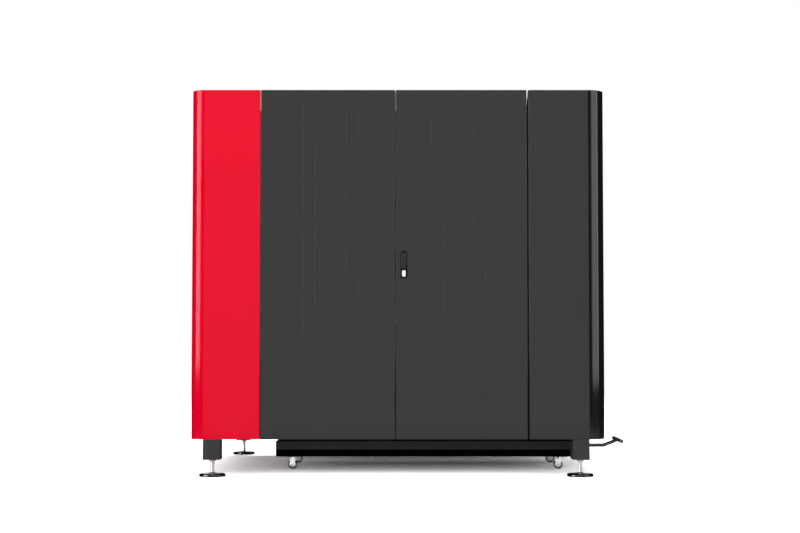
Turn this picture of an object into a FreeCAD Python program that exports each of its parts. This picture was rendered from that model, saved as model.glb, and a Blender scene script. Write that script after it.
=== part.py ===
import FreeCAD, Part
import math
import os
from FreeCAD import Vector

# Compact enclosed sheet-metal laser cutter, millimetres, +Z up, standing on its feet at Z = 0.
# The service side, with the two tall doors, faces -Y; sheets are loaded from the +Y side.
# Sizes below are measured from the middle of the frame and are moved to the origin on export.

# Housing
FLAT_HALF = 964.0          # half the width of the flat faces, up to where the corners start
LEFT_CORNER_R = 66.0
RIGHT_CORNER_R = 84.0
DEPTH = 1750.0
TOP = 1940.0
UNDERSIDE = 188.0
PARAPET_H = 98.0           # the panels stand above the roof
ROOF_Z = TOP - PARAPET_H
SHEET = 2.5
LIP = 18.0                 # inward lips on the shells' upper and lower edges
SEAM_RETURN = 25.0

# Service doors
LEFT_SEAM_X = -681.0
DOOR_SEAM_X = -4.0
RIGHT_SEAM_X = 660.0
LEFT_SEAM_GAP = 3.0
DOOR_SEAM_GAP = 3.0
RIGHT_SEAM_GAP = 9.0
DOOR_THICK = 30.0
DOOR_SKIN = 2.0
PIVOT_IN = 40.0            # hinge axis, in from the door's edge
PIVOT_BACK = 12.0          # hinge axis, behind the door's face
HINGE_HEIGHTS = (330.0, 1050.0, 1740.0)
HINGE_PIN_D = 8.0
HINGE_ARM_T = 8.0
HINGE_LUG_T = 4.0
HINGE_POST_GAP = 14.0      # from a seam to the post that carries the hinge arms

# Welded frame
LEG_X = 84.0
LEG_Y = 120.0
LEG_WALL = 5.0
LEG_BOTTOM = 86.0
FOOT_PLATE_T = 12.0
RAIL = 60.0
RAIL_WALL = 3.0
RAIL_SETBACK = 63.0        # rails stand behind the doors, clear of their hinge edges
MULLION_X = 30.0
DOOR_POST = 50.0

# Levelling feet
FOOT_D = 135.0
FOOT_H = 20.0
FOOT_RIM_H = 6.0           # height of the rim, and of the shoulder above it
FOOT_BOSS_R = 18.0
STUD_D = 20.0
STUD_IN_LEG = 40.0
LOCK_NUT_AF = 30.0
LOCK_NUT_H = 10.0

# Swing handle and three-point latch of the right-hand service door
HANDLE_X = 38.0
HANDLE_Z = 1060.0
HANDLE_W = 34.0
HANDLE_H = 139.0
HANDLE_PLATE_T = 6.0
SURROUND_T = 10.0
LEVER_T = 12.0
LEVER_W = 26.0
LEVER_L = 79.0             # from the spindle's axis to the tip
SPINDLE_BELOW_TOP = 14.0
SPINDLE_D = 14.0
BUTTON_W = 18.5
BUTTON_H = 33.0
BUTTON_T = 10.0
BUTTON_TRAVEL = 4.0
CAM_D = 54.0
CAM_T = 3.0
CAM_PIN_R = 18.0
CAM_PIN_D = 6.0
LATCH_ROD_W = 16.0
LATCH_ROD_T = 3.0
ROD_GUIDE_HEIGHTS = (465.0, 1570.0)

# Front (loading) side
FRONT_HALF = 670.0         # half the width between the shells' front strips
FRONT_GAP = 3.0
SILL_Z = 880.0
HEADER_Z = 1702.0
LIFT_DOOR_HALF = 640.0
LIFT_DOOR_T = 25.0
LIFT_DOOR_SETBACK = 15.0
GUIDE_HOLD = 442.0         # length of the raised door that stays in its guides
WINDOW_W = 620.0
WINDOW_H = 380.0
WINDOW_Z = 1340.0
GLASS_T = 6.0

# Cutting bed and motion system
SERVICE_DEPTH = 325.0      # from the doors' faces to the wall of the cutting chamber
BED_END_GAP = 155.0        # from the bed's end to the loading side's face
BED_BEAM_GAP = 35.0        # between the table and the side beams
BED_BEAM_W = 80.0
BED_BEAM_H = 120.0
BED_TOP = 940.0
TABLE_HALF_X = 745.0
TABLE_PARK_GAP = 288.0     # room behind the table for the parked gantry
TABLE_END_GAP = 30.0
TABLE_Z = 820.0
TABLE_H = 60.0
TABLE_BAR = 10.0
LEDGE_IN = 40.0
LEDGE_T = 8.0
SLAT_PITCH = 100.0
SLAT_T = 4.0
SLAT_TOOTH_PITCH = 80.0
SLAT_TOOTH_H = 25.0
SLAT_TIP_Z = 905.0
GANTRY_GAP = 150.0         # from the chamber's wall to the middle of the parked gantry
BEAM_Y = 160.0
BEAM_H = 130.0
CARRIAGE_PARK = 95.0       # from the table's edge to the parked carriage
REACH_MARGIN = 32.0        # from the table's far edge to the head's last position
HEAD_TRAVEL = 100.0

# Scrap cart
CART_LEFT_IN = 325.0       # from the housing's flat, at either end
CART_RIGHT_IN = 19.0
CART_NEAR = -372.0
CART_FAR = 162.0
CART_UNDER = 68.0
CHASSIS_H = 37.0
TRAY_TOP = 149.0
TRAY_WALL = 2.0
WHEEL_D = 50.0
WHEEL_W = 20.0
CASTOR_END_IN = 87.0
CASTOR_NEAR_IN = 47.0
CASTOR_FAR_IN = 42.0
SWIVEL_TRAIL = 14.0
TOW_TUBE_D = 20.0
TOW_Z = 112.0
TOW_STRAIGHT = 185.0       # from the cart's end to the bend
TOW_REACH = 262.0          # from the cart's end to the grip
GRIP_RISE = 30.0
GRIP_L = 330.0
GRIP_D = 22.0

# Fits
RUNNING = 0.05             # radial running clearance of pins and shafts
SLIDING = 0.3              # gap between flat faces that slide past each other

NEAR = -DEPTH / 2
FAR = DEPTH / 2
LEFT = -(FLAT_HALF + LEFT_CORNER_R)
RIGHT = FLAT_HALF + RIGHT_CORNER_R
FRAME_TOP = ROOF_Z - SHEET
LEG_CENTRE_X = FLAT_HALF - LEG_X / 2
LEG_CENTRE_Y = FAR - SHEET - SLIDING - LEG_Y / 2
DOOR_BACK = NEAR + DOOR_THICK
RAIL_NEAR = NEAR + RAIL_SETBACK
BULKHEAD_Y = NEAR + SERVICE_DEPTH
BED_FAR_Y = FAR - BED_END_GAP
BED_BEAM_X = TABLE_HALF_X + BED_BEAM_GAP + BED_BEAM_W / 2
TABLE_NEAR_Y = BULKHEAD_Y + TABLE_PARK_GAP
TABLE_FAR_Y = BED_FAR_Y - TABLE_END_GAP
GANTRY_Y = BULKHEAD_Y + GANTRY_GAP
CARRIAGE_X = CARRIAGE_PARK - TABLE_HALF_X
CARRIAGE_TRAVEL = -2 * CARRIAGE_X
CART_LEFT = CART_LEFT_IN - FLAT_HALF
CART_RIGHT = FLAT_HALF - CART_RIGHT_IN
GRIP_X = CART_RIGHT + TOW_REACH
GRIP_Z = TOW_Z + GRIP_RISE


def block(x0, x1, y0, y1, z0, z1):
    """A block between two limits on each axis."""
    low = Vector(min(x0, x1), min(y0, y1), min(z0, z1))
    return Part.makeBox(abs(x1 - x0), abs(y1 - y0), abs(z1 - z0), low)


def bar(start, end, diameter):
    """A round bar between two points."""
    run = end - start
    return Part.makeCylinder(diameter / 2, run.Length, start, run)


def prism(points, push):
    """A flat outline pushed along a vector."""
    outline = Part.makePolygon(points + [points[0]])
    return Part.Face(outline).extrude(push)


def turned(outline, centre):
    """A profile of (radius, height) pairs turned about the vertical through a point."""
    points = [Vector(centre.x + r, centre.y, centre.z + h) for r, h in outline]
    face = Part.Face(Part.makePolygon(points + [points[0]]))
    return face.revolve(centre, Vector(0, 0, 1), 360)


def rect_tube(x0, x1, y0, y1, z0, z1, wall, run):
    """A rectangular tube whose open ends lie along the axis named by run."""
    inset = {axis: (0 if axis == run else wall) for axis in "xyz"}
    bore = block(x0 + inset["x"], x1 - inset["x"], y0 + inset["y"], y1 - inset["y"],
                 z0 + inset["z"], z1 - inset["z"])
    return block(x0, x1, y0, y1, z0, z1).cut(bore)


def fused(shapes):
    """Pieces welded or moulded into one."""
    whole = shapes[0]
    for shape in shapes[1:]:
        whole = whole.fuse(shape)
    return whole.removeSplitter()


def rounded_plate(width, height, corner_r, x, y0, y1, z):
    """An upright plate with rounded corners, centred on (x, z), between two depths."""
    plate = block(x - width / 2, x + width / 2, y0, y1, z - height / 2, z + height / 2)
    edges = [e for e in plate.Edges if abs(e.tangentAt(e.FirstParameter).y) > 0.99]
    return plate.makeFillet(corner_r, edges)


# ---------------------------------------------------------------- welded frame

def leg(side_x, side_y):
    """One corner post: a rectangular tube closed below by the plate that the foot screws into."""
    x = side_x * LEG_CENTRE_X
    y = side_y * LEG_CENTRE_Y
    x0, x1 = x - LEG_X / 2, x + LEG_X / 2
    y0, y1 = y - LEG_Y / 2, y + LEG_Y / 2
    post = rect_tube(x0, x1, y0, y1, LEG_BOTTOM, FRAME_TOP, LEG_WALL, "z")
    plate = block(x0 + LEG_WALL, x1 - LEG_WALL, y0 + LEG_WALL, y1 - LEG_WALL,
                  LEG_BOTTOM, LEG_BOTTOM + FOOT_PLATE_T)
    hole = bar(Vector(x, y, LEG_BOTTOM - 1), Vector(x, y, LEG_BOTTOM + FOOT_PLATE_T + 1),
               STUD_D + 2 * RUNNING)
    return fused([post, plate]).cut(hole)


LEG_INNER_X = LEG_CENTRE_X - LEG_X / 2
LEG_INNER_Y = LEG_CENTRE_Y - LEG_Y / 2
RAIL_LOW = UNDERSIDE + 2
RAIL_HIGH = FRAME_TOP - RAIL
BED_BOTTOM = BED_TOP - BED_BEAM_H
FRONT_POST_X = FRONT_HALF - DOOR_POST / 2


def rails_along_x():
    """Lower and upper rails between the posts, and the two cross rails under the bed."""
    spans = [(RAIL_NEAR, RAIL_LOW), (RAIL_NEAR, RAIL_HIGH),
             (LEG_INNER_Y, RAIL_LOW), (LEG_INNER_Y, RAIL_HIGH),
             (BULKHEAD_Y, RAIL_LOW), (BED_FAR_Y - RAIL, RAIL_LOW)]
    return [rect_tube(-LEG_INNER_X, LEG_INNER_X, y, y + RAIL, z, z + RAIL, RAIL_WALL, "x")
            for y, z in spans]


def rails_along_y():
    """End rails between the near and far posts."""
    half = RAIL / 2
    return [rect_tube(side * LEG_CENTRE_X - half, side * LEG_CENTRE_X + half,
                      -LEG_INNER_Y, LEG_INNER_Y, z, z + RAIL, RAIL_WALL, "y")
            for side in (-1, 1) for z in (RAIL_LOW, RAIL_HIGH)]


def door_posts():
    """The mullion behind the door seam and the four slimmer posts that carry doors and rails."""
    half = MULLION_X / 2
    posts = [rect_tube(DOOR_SEAM_X - half, DOOR_SEAM_X + half, DOOR_BACK + 1, RAIL_NEAR,
                       RAIL_LOW, FRAME_TOP, RAIL_WALL, "z")]
    starts = [(LEFT_SEAM_X - HINGE_POST_GAP - DOOR_POST, RAIL_NEAR),
              (RIGHT_SEAM_X + HINGE_POST_GAP, RAIL_NEAR),
              (-FRONT_POST_X - DOOR_POST / 2, LEG_INNER_Y),
              (FRONT_POST_X - DOOR_POST / 2, LEG_INNER_Y)]
    for x, y in starts:
        posts.append(rect_tube(x, x + DOOR_POST, y, y + DOOR_POST,
                               RAIL_LOW + RAIL, RAIL_HIGH, RAIL_WALL, "z"))
    return posts


def bed_structure():
    """Side beams that carry the guides, the struts under them and the ledges for the table."""
    parts = []
    for side in (-1, 1):
        x0 = side * BED_BEAM_X - BED_BEAM_W / 2
        x1 = x0 + BED_BEAM_W
        parts.append(rect_tube(x0, x1, BULKHEAD_Y, BED_FAR_Y, BED_BOTTOM, BED_TOP, LEG_WALL, "y"))
        for y in (BULKHEAD_Y, BED_FAR_Y - RAIL):
            parts.append(rect_tube(x0, x1, y, y + RAIL, RAIL_LOW + RAIL, BED_BOTTOM,
                                   RAIL_WALL, "z"))
        ledge_in = side * (TABLE_HALF_X - LEDGE_IN)
        beam_face = side * (TABLE_HALF_X + BED_BEAM_GAP)
        parts.append(block(ledge_in, beam_face, TABLE_NEAR_Y, TABLE_FAR_Y,
                           TABLE_Z - LEDGE_T, TABLE_Z))
    return parts


def base_frame():
    """Posts, rails, mullion and bed: tubes welded end to face."""
    legs = [leg(x, y) for x in (-1, 1) for y in (-1, 1)]
    return legs + rails_along_x() + rails_along_y() + door_posts() + bed_structure()


# ---------------------------------------------------------------- levelling feet

def at_each_leg(make):
    """The same piece under all four legs."""
    return [make(Vector(x * LEG_CENTRE_X, y * LEG_CENTRE_Y, 0))
            for x in (-1, 1) for y in (-1, 1)]


SOCKET_R = STUD_D / 2 - 2
SOCKET_Z = 0.4 * FOOT_H


def foot_disc(centre):
    """A turned foot: flat underneath, a domed flange and a raised socket for the stud's ball."""
    r = FOOT_D / 2
    outline = [(0, 0), (r, 0), (r, FOOT_RIM_H), (r - FOOT_RIM_H, 2 * FOOT_RIM_H),
               (FOOT_BOSS_R, FOOT_H), (SOCKET_R, FOOT_H), (SOCKET_R, SOCKET_Z), (0, SOCKET_Z)]
    return turned(outline, centre)


def foot_stud(centre):
    """The adjusting stud, turned down below to sit in the foot's socket."""
    r = STUD_D / 2
    neck = SOCKET_R - RUNNING
    outline = [(0, SOCKET_Z), (neck, SOCKET_Z), (neck, FOOT_H), (r, FOOT_H + 2),
               (r, LEG_BOTTOM + STUD_IN_LEG - 2), (r - 2, LEG_BOTTOM + STUD_IN_LEG),
               (0, LEG_BOTTOM + STUD_IN_LEG)]
    return turned(outline, centre)


def hexagon(centre, across_flats, z0, z1):
    """A hexagonal prism standing on a point."""
    r = across_flats / math.sqrt(3)
    points = [Vector(centre.x + r * math.cos(math.radians(60 * i)),
                     centre.y + r * math.sin(math.radians(60 * i)), z0) for i in range(6)]
    return prism(points, Vector(0, 0, z1 - z0))


def lock_nut(centre):
    """The nut that locks the stud against the leg's plate."""
    nut = hexagon(centre, LOCK_NUT_AF, LEG_BOTTOM - LOCK_NUT_H, LEG_BOTTOM)
    bore = bar(centre, centre + Vector(0, 0, LEG_BOTTOM + 1), STUD_D + 2 * RUNNING)
    return nut.cut(bore)


# ---------------------------------------------------------------- end shells

def shell_path(side, near_seam, far_seam, inset):
    """Edges of the U that a shell makes seen from above, from its near seam to its far seam."""
    corner = LEFT_CORNER_R if side < 0 else RIGHT_CORNER_R
    r = corner - inset
    end = side * (FLAT_HALF + r)
    flat = side * FLAT_HALF
    lean = r * math.sqrt(0.5)
    near_y, far_y = NEAR + inset, FAR - inset
    near_c, far_c = NEAR + corner, FAR - corner
    return [
        Part.makeLine(Vector(near_seam, near_y, 0), Vector(flat, near_y, 0)),
        Part.Arc(Vector(flat, near_y, 0), Vector(flat + side * lean, near_c - lean, 0),
                 Vector(end, near_c, 0)).toShape(),
        Part.makeLine(Vector(end, near_c, 0), Vector(end, far_c, 0)),
        Part.Arc(Vector(end, far_c, 0), Vector(flat + side * lean, far_c + lean, 0),
                 Vector(flat, far_y, 0)).toShape(),
        Part.makeLine(Vector(flat, far_y, 0), Vector(far_seam, far_y, 0)),
    ]


def shell_band(side, near_seam, far_seam, outer, inner, z0, z1):
    """The wall between two insets of the same U, from one height to another."""
    outside = shell_path(side, near_seam, far_seam, outer)
    inside = shell_path(side, near_seam, far_seam, inner)
    caps = [Part.makeLine(outside[0].Vertexes[0].Point, inside[0].Vertexes[0].Point),
            Part.makeLine(outside[-1].Vertexes[-1].Point, inside[-1].Vertexes[-1].Point)]
    wire = Part.Wire(Part.__sortEdges__(outside + inside + caps))
    band = Part.Face(wire).extrude(Vector(0, 0, z1 - z0))
    band.translate(Vector(0, 0, z0))
    return band


def end_shell(side, near_seam):
    """A folded end: strip, rolled corner, end wall, rolled corner and strip in one sheet."""
    far_seam = side * FRONT_HALF
    wall = shell_band(side, near_seam, far_seam, 0, SHEET, UNDERSIDE, TOP)
    lips = [shell_band(side, near_seam, far_seam, SHEET, LIP, z, z + SHEET)
            for z in (UNDERSIDE, TOP - SHEET)]
    returns = [block(seam, seam + side * SHEET, y + inward * SHEET, y + inward * SEAM_RETURN,
                     UNDERSIDE, TOP)
               for seam, y, inward in ((near_seam, NEAR, 1), (far_seam, FAR, -1))]
    shell = fused([wall] + lips + returns)
    for side_y in (-1, 1):
        x, y = side * LEG_CENTRE_X, side_y * LEG_CENTRE_Y
        notch = block(x - LEG_X / 2 - 1, x + LEG_X / 2 + 1, y - LEG_Y / 2 - SLIDING / 2,
                      y + LEG_Y / 2 + SLIDING / 2, UNDERSIDE - 1, UNDERSIDE + SHEET + 1)
        shell = shell.cut(notch)
    return shell


# ---------------------------------------------------------------- roof and inner walls

EXHAUST_D = 200.0
EXHAUST_H = 80.0
EXHAUST_X = 600.0
EXHAUST_Y = 300.0
ROOF_FAR_Y = FAR - LIFT_DOOR_SETBACK - LIFT_DOOR_T - 12.0      # clear of the raised door
EXHAUST_PLACE = Vector(EXHAUST_X, EXHAUST_Y, FRAME_TOP)
DUCT_SHEET_HALF = 200.0    # from the duct's axis to the edge of the sheet that carries it
DUCT_SHEET_GAP = 1.0


def duct_region(half):
    """The part of the roof that the duct's own sheet takes up, out to the right-hand shell."""
    return block(EXHAUST_X - half, RIGHT, EXHAUST_Y - half, EXHAUST_Y + half, FRAME_TOP - 1,
                 ROOF_Z + 1)


def roof_panel():
    """The roof: a main sheet, rounded to fit the shells and open where the lift door rises, and
    the smaller sheet with the hole for the duct."""
    inset = SHEET + SLIDING
    roof = block(LEFT + inset, RIGHT - inset, NEAR + inset, FAR - inset, FRAME_TOP, ROOF_Z)
    for corner, side in ((LEFT_CORNER_R, -1), (RIGHT_CORNER_R, 1)):
        edges = [e for e in roof.Edges if abs(e.tangentAt(e.FirstParameter).z) > 0.99
                 and e.Vertexes[0].Point.x * side > FLAT_HALF]
        roof = roof.makeFillet(corner - inset, edges)
    nose = block(LEFT_SEAM_X + 90, RIGHT_SEAM_X - 90, DOOR_BACK + 2, RAIL_NEAR,
                 FRAME_TOP, ROOF_Z)
    roof = roof.cut(block(LEFT_SEAM_X - 60, RIGHT_SEAM_X + 60, NEAR, RAIL_NEAR - 5,
                          FRAME_TOP - 1, ROOF_Z + 1))
    roof = roof.cut(block(-FRONT_HALF - 60, FRONT_HALF + 60, ROOF_FAR_Y, FAR,
                          FRAME_TOP - 1, ROOF_Z + 1))
    hole = bar(EXHAUST_PLACE - Vector(0, 0, 1), EXHAUST_PLACE + Vector(0, 0, SHEET + 1),
               EXHAUST_D - 2 * SHEET)
    roof = fused([roof, nose])
    duct_sheet = roof.common(duct_region(DUCT_SHEET_HALF)).cut(hole)
    return [roof.cut(duct_region(DUCT_SHEET_HALF + DUCT_SHEET_GAP)), duct_sheet]


def exhaust_collar():
    """A flanged spigot that the extraction hose is clamped on."""
    r = EXHAUST_D / 2
    outline = [(r - SHEET, SHEET), (r + 25, SHEET), (r + 25, 2 * SHEET), (r, 2 * SHEET),
               (r, EXHAUST_H), (r - SHEET, EXHAUST_H)]
    return turned(outline, EXHAUST_PLACE)


def bulkhead():
    """The sheet wall that keeps sparks out of the service compartment."""
    reach = LEG_CENTRE_X - RAIL / 2 - 4
    return block(-reach, reach, BULKHEAD_Y - SHEET, BULKHEAD_Y, RAIL_LOW, RAIL_HIGH)


def compartment_floor():
    """The shelf on the rails that the laser source stands on."""
    return block(LEFT_SEAM_X + 20, RIGHT_SEAM_X - 20, RAIL_NEAR, BULKHEAD_Y - SHEET,
                 RAIL_LOW + RAIL, RAIL_LOW + RAIL + SHEET)


# ---------------------------------------------------------------- service doors

LEFT_DOOR = (LEFT_SEAM_X + LEFT_SEAM_GAP / 2, DOOR_SEAM_X - DOOR_SEAM_GAP / 2)
RIGHT_DOOR = (RIGHT_SEAM_X - RIGHT_SEAM_GAP / 2, DOOR_SEAM_X + DOOR_SEAM_GAP / 2)
PIVOT_Y = NEAR + PIVOT_BACK
LEFT_PIVOT_X = LEFT_DOOR[0] + PIVOT_IN
RIGHT_PIVOT_X = RIGHT_DOOR[0] - PIVOT_IN
LUG_RISE = HINGE_ARM_T / 2 + SLIDING
ARM_HALF = 8.0             # half the width of a hinge arm round its pin


def service_door(hinge_edge, free_edge, pivot_x):
    """A folded pan with stiffeners, notches for the hinge arms and welded hinge lugs."""
    inward = math.copysign(1, free_edge - hinge_edge)
    low, high = min(hinge_edge, free_edge), max(hinge_edge, free_edge)
    pan = block(low, high, NEAR, DOOR_BACK, UNDERSIDE, TOP)
    pan = pan.cut(block(low + DOOR_SKIN, high - DOOR_SKIN, NEAR + DOOR_SKIN, DOOR_BACK + 1,
                        UNDERSIDE + DOOR_SKIN, TOP - DOOR_SKIN))
    inner = NEAR + DOOR_SKIN
    for share in (0.36, 0.68):
        x = hinge_edge + (free_edge - hinge_edge) * share
        rib = block(x - 30, x + 30, inner, DOOR_BACK - 8, UNDERSIDE + 60, TOP - 60)
        pan = pan.fuse(rib.cut(block(x - 28, x + 28, inner - 1, DOOR_BACK - 10,
                                     UNDERSIDE + 50, TOP - 50)))
    for z in HINGE_HEIGHTS:
        slot = HINGE_ARM_T / 2 + 4
        pan = pan.cut(block(hinge_edge - inward, hinge_edge + 2 * inward * DOOR_SKIN, inner,
                            DOOR_BACK + 1, z - slot, z + slot))
        for z0 in (z + LUG_RISE, z - LUG_RISE - HINGE_LUG_T):
            lug = block(pivot_x - inward * 10, pivot_x + inward * 14, inner, DOOR_BACK - 8,
                        z0, z0 + HINGE_LUG_T)
            pan = pan.fuse(lug)
        pan = pan.cut(bar(Vector(pivot_x, PIVOT_Y, z - 20), Vector(pivot_x, PIVOT_Y, z + 20),
                          HINGE_PIN_D + 2 * RUNNING))
    return pan.removeSplitter()


def hinge_pins(pivot_x):
    """Headed pins dropped through the lugs and the arm of each hinge."""
    length = 2 * (LUG_RISE + HINGE_LUG_T)
    pins = []
    for z in HINGE_HEIGHTS:
        top = z + length / 2
        shank = bar(Vector(pivot_x, PIVOT_Y, z - length / 2 - 3), Vector(pivot_x, PIVOT_Y, top),
                    HINGE_PIN_D)
        head = bar(Vector(pivot_x, PIVOT_Y, top), Vector(pivot_x, PIVOT_Y, top + 3),
                   HINGE_PIN_D + 5)
        pins.append(shank.fuse(head))
    return pins


def hinge_arm(z, pivot_x, post_face, inward):
    """A gooseneck plate that reaches from the post, behind the door's edge, to the pin."""
    back = RAIL_NEAR + 4
    outer = pivot_x + inward * ARM_HALF
    points = [Vector(post_face, back, z), Vector(pivot_x - inward * ARM_HALF, back, z),
              Vector(pivot_x - inward * ARM_HALF, PIVOT_Y, z), Vector(outer, PIVOT_Y, z),
              Vector(outer, back + 18, z), Vector(post_face, back + 18, z)]
    low = Vector(0, 0, -HINGE_ARM_T / 2)
    plate = prism([p + low for p in points], Vector(0, 0, HINGE_ARM_T))
    centre = Vector(pivot_x, PIVOT_Y, z)
    nose = bar(centre + low, centre - low, 2 * ARM_HALF)
    hole = bar(centre + low * 2, centre - low * 2, HINGE_PIN_D + 2 * RUNNING)
    return fused([plate, nose]).cut(hole)


def hinge_arms():
    """All six arms, three on each door's post."""
    left_face = LEFT_SEAM_X - HINGE_POST_GAP
    right_face = RIGHT_SEAM_X + HINGE_POST_GAP
    return [hinge_arm(z, pivot, face, inward) for z in HINGE_HEIGHTS
            for pivot, face, inward in ((LEFT_PIVOT_X, left_face, 1),
                                        (RIGHT_PIVOT_X, right_face, -1))]


# ---------------------------------------------------------------- swing handle and latch

HANDLE_TOP = HANDLE_Z + HANDLE_H / 2
SPINDLE_Z = HANDLE_TOP - SPINDLE_BELOW_TOP
PLATE_FACE = NEAR - HANDLE_PLATE_T
LEVER_BACK = PLATE_FACE - 0.5
LEVER_PIN_Y = LEVER_BACK - LEVER_T / 2
BUTTON_Z = HANDLE_Z - HANDLE_H / 2 + 8 + BUTTON_H / 2
SURROUND_TOP_Z = SPINDLE_Z - LEVER_L - 1
SPINDLE_AT = Vector(HANDLE_X, 0, SPINDLE_Z)
CAM_FRONT = NEAR + 22.0
ROD_FRONT = CAM_FRONT + CAM_T + 0.5
TONGUE_W = 10.0
LEVER_PIN_D = 4.0
SLOT_BELOW_PIN = 14.0
ROD_OFF = CAM_PIN_R - LATCH_ROD_W / 2 + 5      # rods run this far beside the spindle
UPPER_ROD_X = HANDLE_X - ROD_OFF
LOWER_ROD_X = HANDLE_X + ROD_OFF


def handle_plate():
    """The plate screwed to the door and the thicker frame round the button, with both openings."""
    plate = rounded_plate(HANDLE_W, HANDLE_H, 12, HANDLE_X, PLATE_FACE, NEAR, HANDLE_Z)
    low = HANDLE_Z - HANDLE_H / 2
    height = SURROUND_TOP_Z - low
    surround = rounded_plate(HANDLE_W, height, 12, HANDLE_X, NEAR - SURROUND_T, PLATE_FACE,
                             low + height / 2)
    opening = rounded_plate(BUTTON_W + 2 * SLIDING, BUTTON_H + 2 * SLIDING,
                            BUTTON_W / 2 - 1, HANDLE_X, NEAR - SURROUND_T - 1, NEAR + 1, BUTTON_Z)
    hole = bar(SPINDLE_AT + Vector(0, NEAR - 20, 0), SPINDLE_AT + Vector(0, NEAR + 5, 0),
               SPINDLE_D + 2 * RUNNING)
    return [plate.cut(opening).cut(hole), surround.cut(opening)]


def latch_button():
    """The push button that lets the lever out: a tongue with a rounded end."""
    front = NEAR - BUTTON_TRAVEL - BUTTON_T
    return rounded_plate(BUTTON_W, BUTTON_H, BUTTON_W / 2 - 1.3, HANDLE_X, front,
                         front + BUTTON_T, BUTTON_Z)


def latch_lever():
    """The lever: a tapered bar, half round about its pin, slotted over the spindle's tongue."""
    tip_z = SPINDLE_Z - LEVER_L
    front = LEVER_BACK - LEVER_T
    tip_r = LEVER_W / 2 - 3
    body = block(HANDLE_X - LEVER_W / 2, HANDLE_X + LEVER_W / 2, front, LEVER_BACK,
                 tip_z + tip_r, SPINDLE_Z)
    tip = bar(Vector(HANDLE_X, front, tip_z + tip_r), Vector(HANDLE_X, LEVER_BACK, tip_z + tip_r),
              2 * tip_r)
    knuckle = bar(Vector(HANDLE_X - LEVER_W / 2, LEVER_PIN_Y, SPINDLE_Z),
                  Vector(HANDLE_X + LEVER_W / 2, LEVER_PIN_Y, SPINDLE_Z), LEVER_T)
    lever = fused([body, tip, knuckle])
    for side in (-1, 1):
        edge = HANDLE_X + side * LEVER_W / 2
        wedge = prism([Vector(edge + side, front - 1, SPINDLE_Z - 18),
                       Vector(edge + side, front - 1, tip_z - 1),
                       Vector(edge - side * 3, front - 1, tip_z - 1)],
                      Vector(0, LEVER_T + 2, 0))
        lever = lever.cut(wedge)
    half = TONGUE_W / 2 + SLIDING
    slot = block(HANDLE_X - half, HANDLE_X + half, LEVER_PIN_Y - 5 - SLIDING, LEVER_BACK + 1,
                 SPINDLE_Z - SLOT_BELOW_PIN, SPINDLE_Z + LEVER_T)
    hole = bar(Vector(HANDLE_X - LEVER_W, LEVER_PIN_Y, SPINDLE_Z),
               Vector(HANDLE_X + LEVER_W, LEVER_PIN_Y, SPINDLE_Z), LEVER_PIN_D + 2 * RUNNING)
    return lever.cut(slot).cut(hole)


def cam_pin_place(angle):
    """Centre of a cam pin, measured anticlockwise from +X as seen from the service side."""
    turn = math.radians(angle)
    return SPINDLE_AT + Vector(CAM_PIN_R * math.cos(turn), 0, CAM_PIN_R * math.sin(turn))


UPPER_PIN = cam_pin_place(135)
LOWER_PIN = cam_pin_place(-45)


def latch_spindle():
    """Spindle with the tongue and pin that carry the lever, and the cam with its two pins."""
    r = TONGUE_W / 2
    shaft = bar(SPINDLE_AT + Vector(0, PLATE_FACE, 0), SPINDLE_AT + Vector(0, CAM_FRONT, 0),
                SPINDLE_D)
    tongue = block(HANDLE_X - r, HANDLE_X + r, LEVER_PIN_Y, PLATE_FACE, SPINDLE_Z - r,
                   SPINDLE_Z + r)
    knuckle = bar(Vector(HANDLE_X - r, LEVER_PIN_Y, SPINDLE_Z),
                  Vector(HANDLE_X + r, LEVER_PIN_Y, SPINDLE_Z), TONGUE_W)
    pin = bar(Vector(HANDLE_X - LEVER_W / 2, LEVER_PIN_Y, SPINDLE_Z),
              Vector(HANDLE_X + LEVER_W / 2, LEVER_PIN_Y, SPINDLE_Z), LEVER_PIN_D)
    cam = bar(SPINDLE_AT + Vector(0, CAM_FRONT, 0), SPINDLE_AT + Vector(0, CAM_FRONT + CAM_T, 0),
              CAM_D)
    pins = [bar(p + Vector(0, CAM_FRONT, 0), p + Vector(0, DOOR_BACK - 0.5, 0), CAM_PIN_D)
            for p in (UPPER_PIN, LOWER_PIN)]
    return fused([shaft, tongue, knuckle, pin, cam] + pins)


def latch_rod(pin, tip_z):
    """A flat bar: a slotted foot on its cam pin, a straight run and a tapered tip."""
    up = math.copysign(1, tip_z - pin.z)
    toward = math.copysign(1, pin.x - HANDLE_X)
    x = HANDLE_X + toward * ROD_OFF
    half = LATCH_ROD_W / 2
    reach_in = HANDLE_X + toward * 5
    reach_out = HANDLE_X + toward * (CAM_PIN_R + 10)
    low = pin.z - up * 8
    points = [Vector(reach_in, 0, low), Vector(reach_out, 0, low),
              Vector(reach_out, 0, pin.z + up * 10), Vector(x + toward * half, 0, pin.z + up * 10),
              Vector(x + toward * half, 0, tip_z - up * 14), Vector(x + toward * 3, 0, tip_z),
              Vector(x - toward * 3, 0, tip_z), Vector(x - toward * half, 0, tip_z - up * 14),
              Vector(x - toward * half, 0, pin.z + up * 10), Vector(reach_in, 0, pin.z + up * 10)]
    rod = prism([p + Vector(0, ROD_FRONT, 0) for p in points], Vector(0, LATCH_ROD_T, 0))
    slot_half = CAM_PIN_D / 2 + 0.8
    inner = HANDLE_X + toward * (CAM_PIN_R * math.sqrt(0.5) - slot_half)
    outer = HANDLE_X + toward * (CAM_PIN_R + slot_half)
    return rod.cut(block(inner, outer, ROD_FRONT - 1, ROD_FRONT + LATCH_ROD_T + 1,
                         pin.z - slot_half, pin.z + slot_half))


KEEPER_LIP = 24.0
UPPER_TIP_Z = RAIL_HIGH - 5
LOWER_TIP_Z = RAIL_LOW + RAIL + 5


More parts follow.
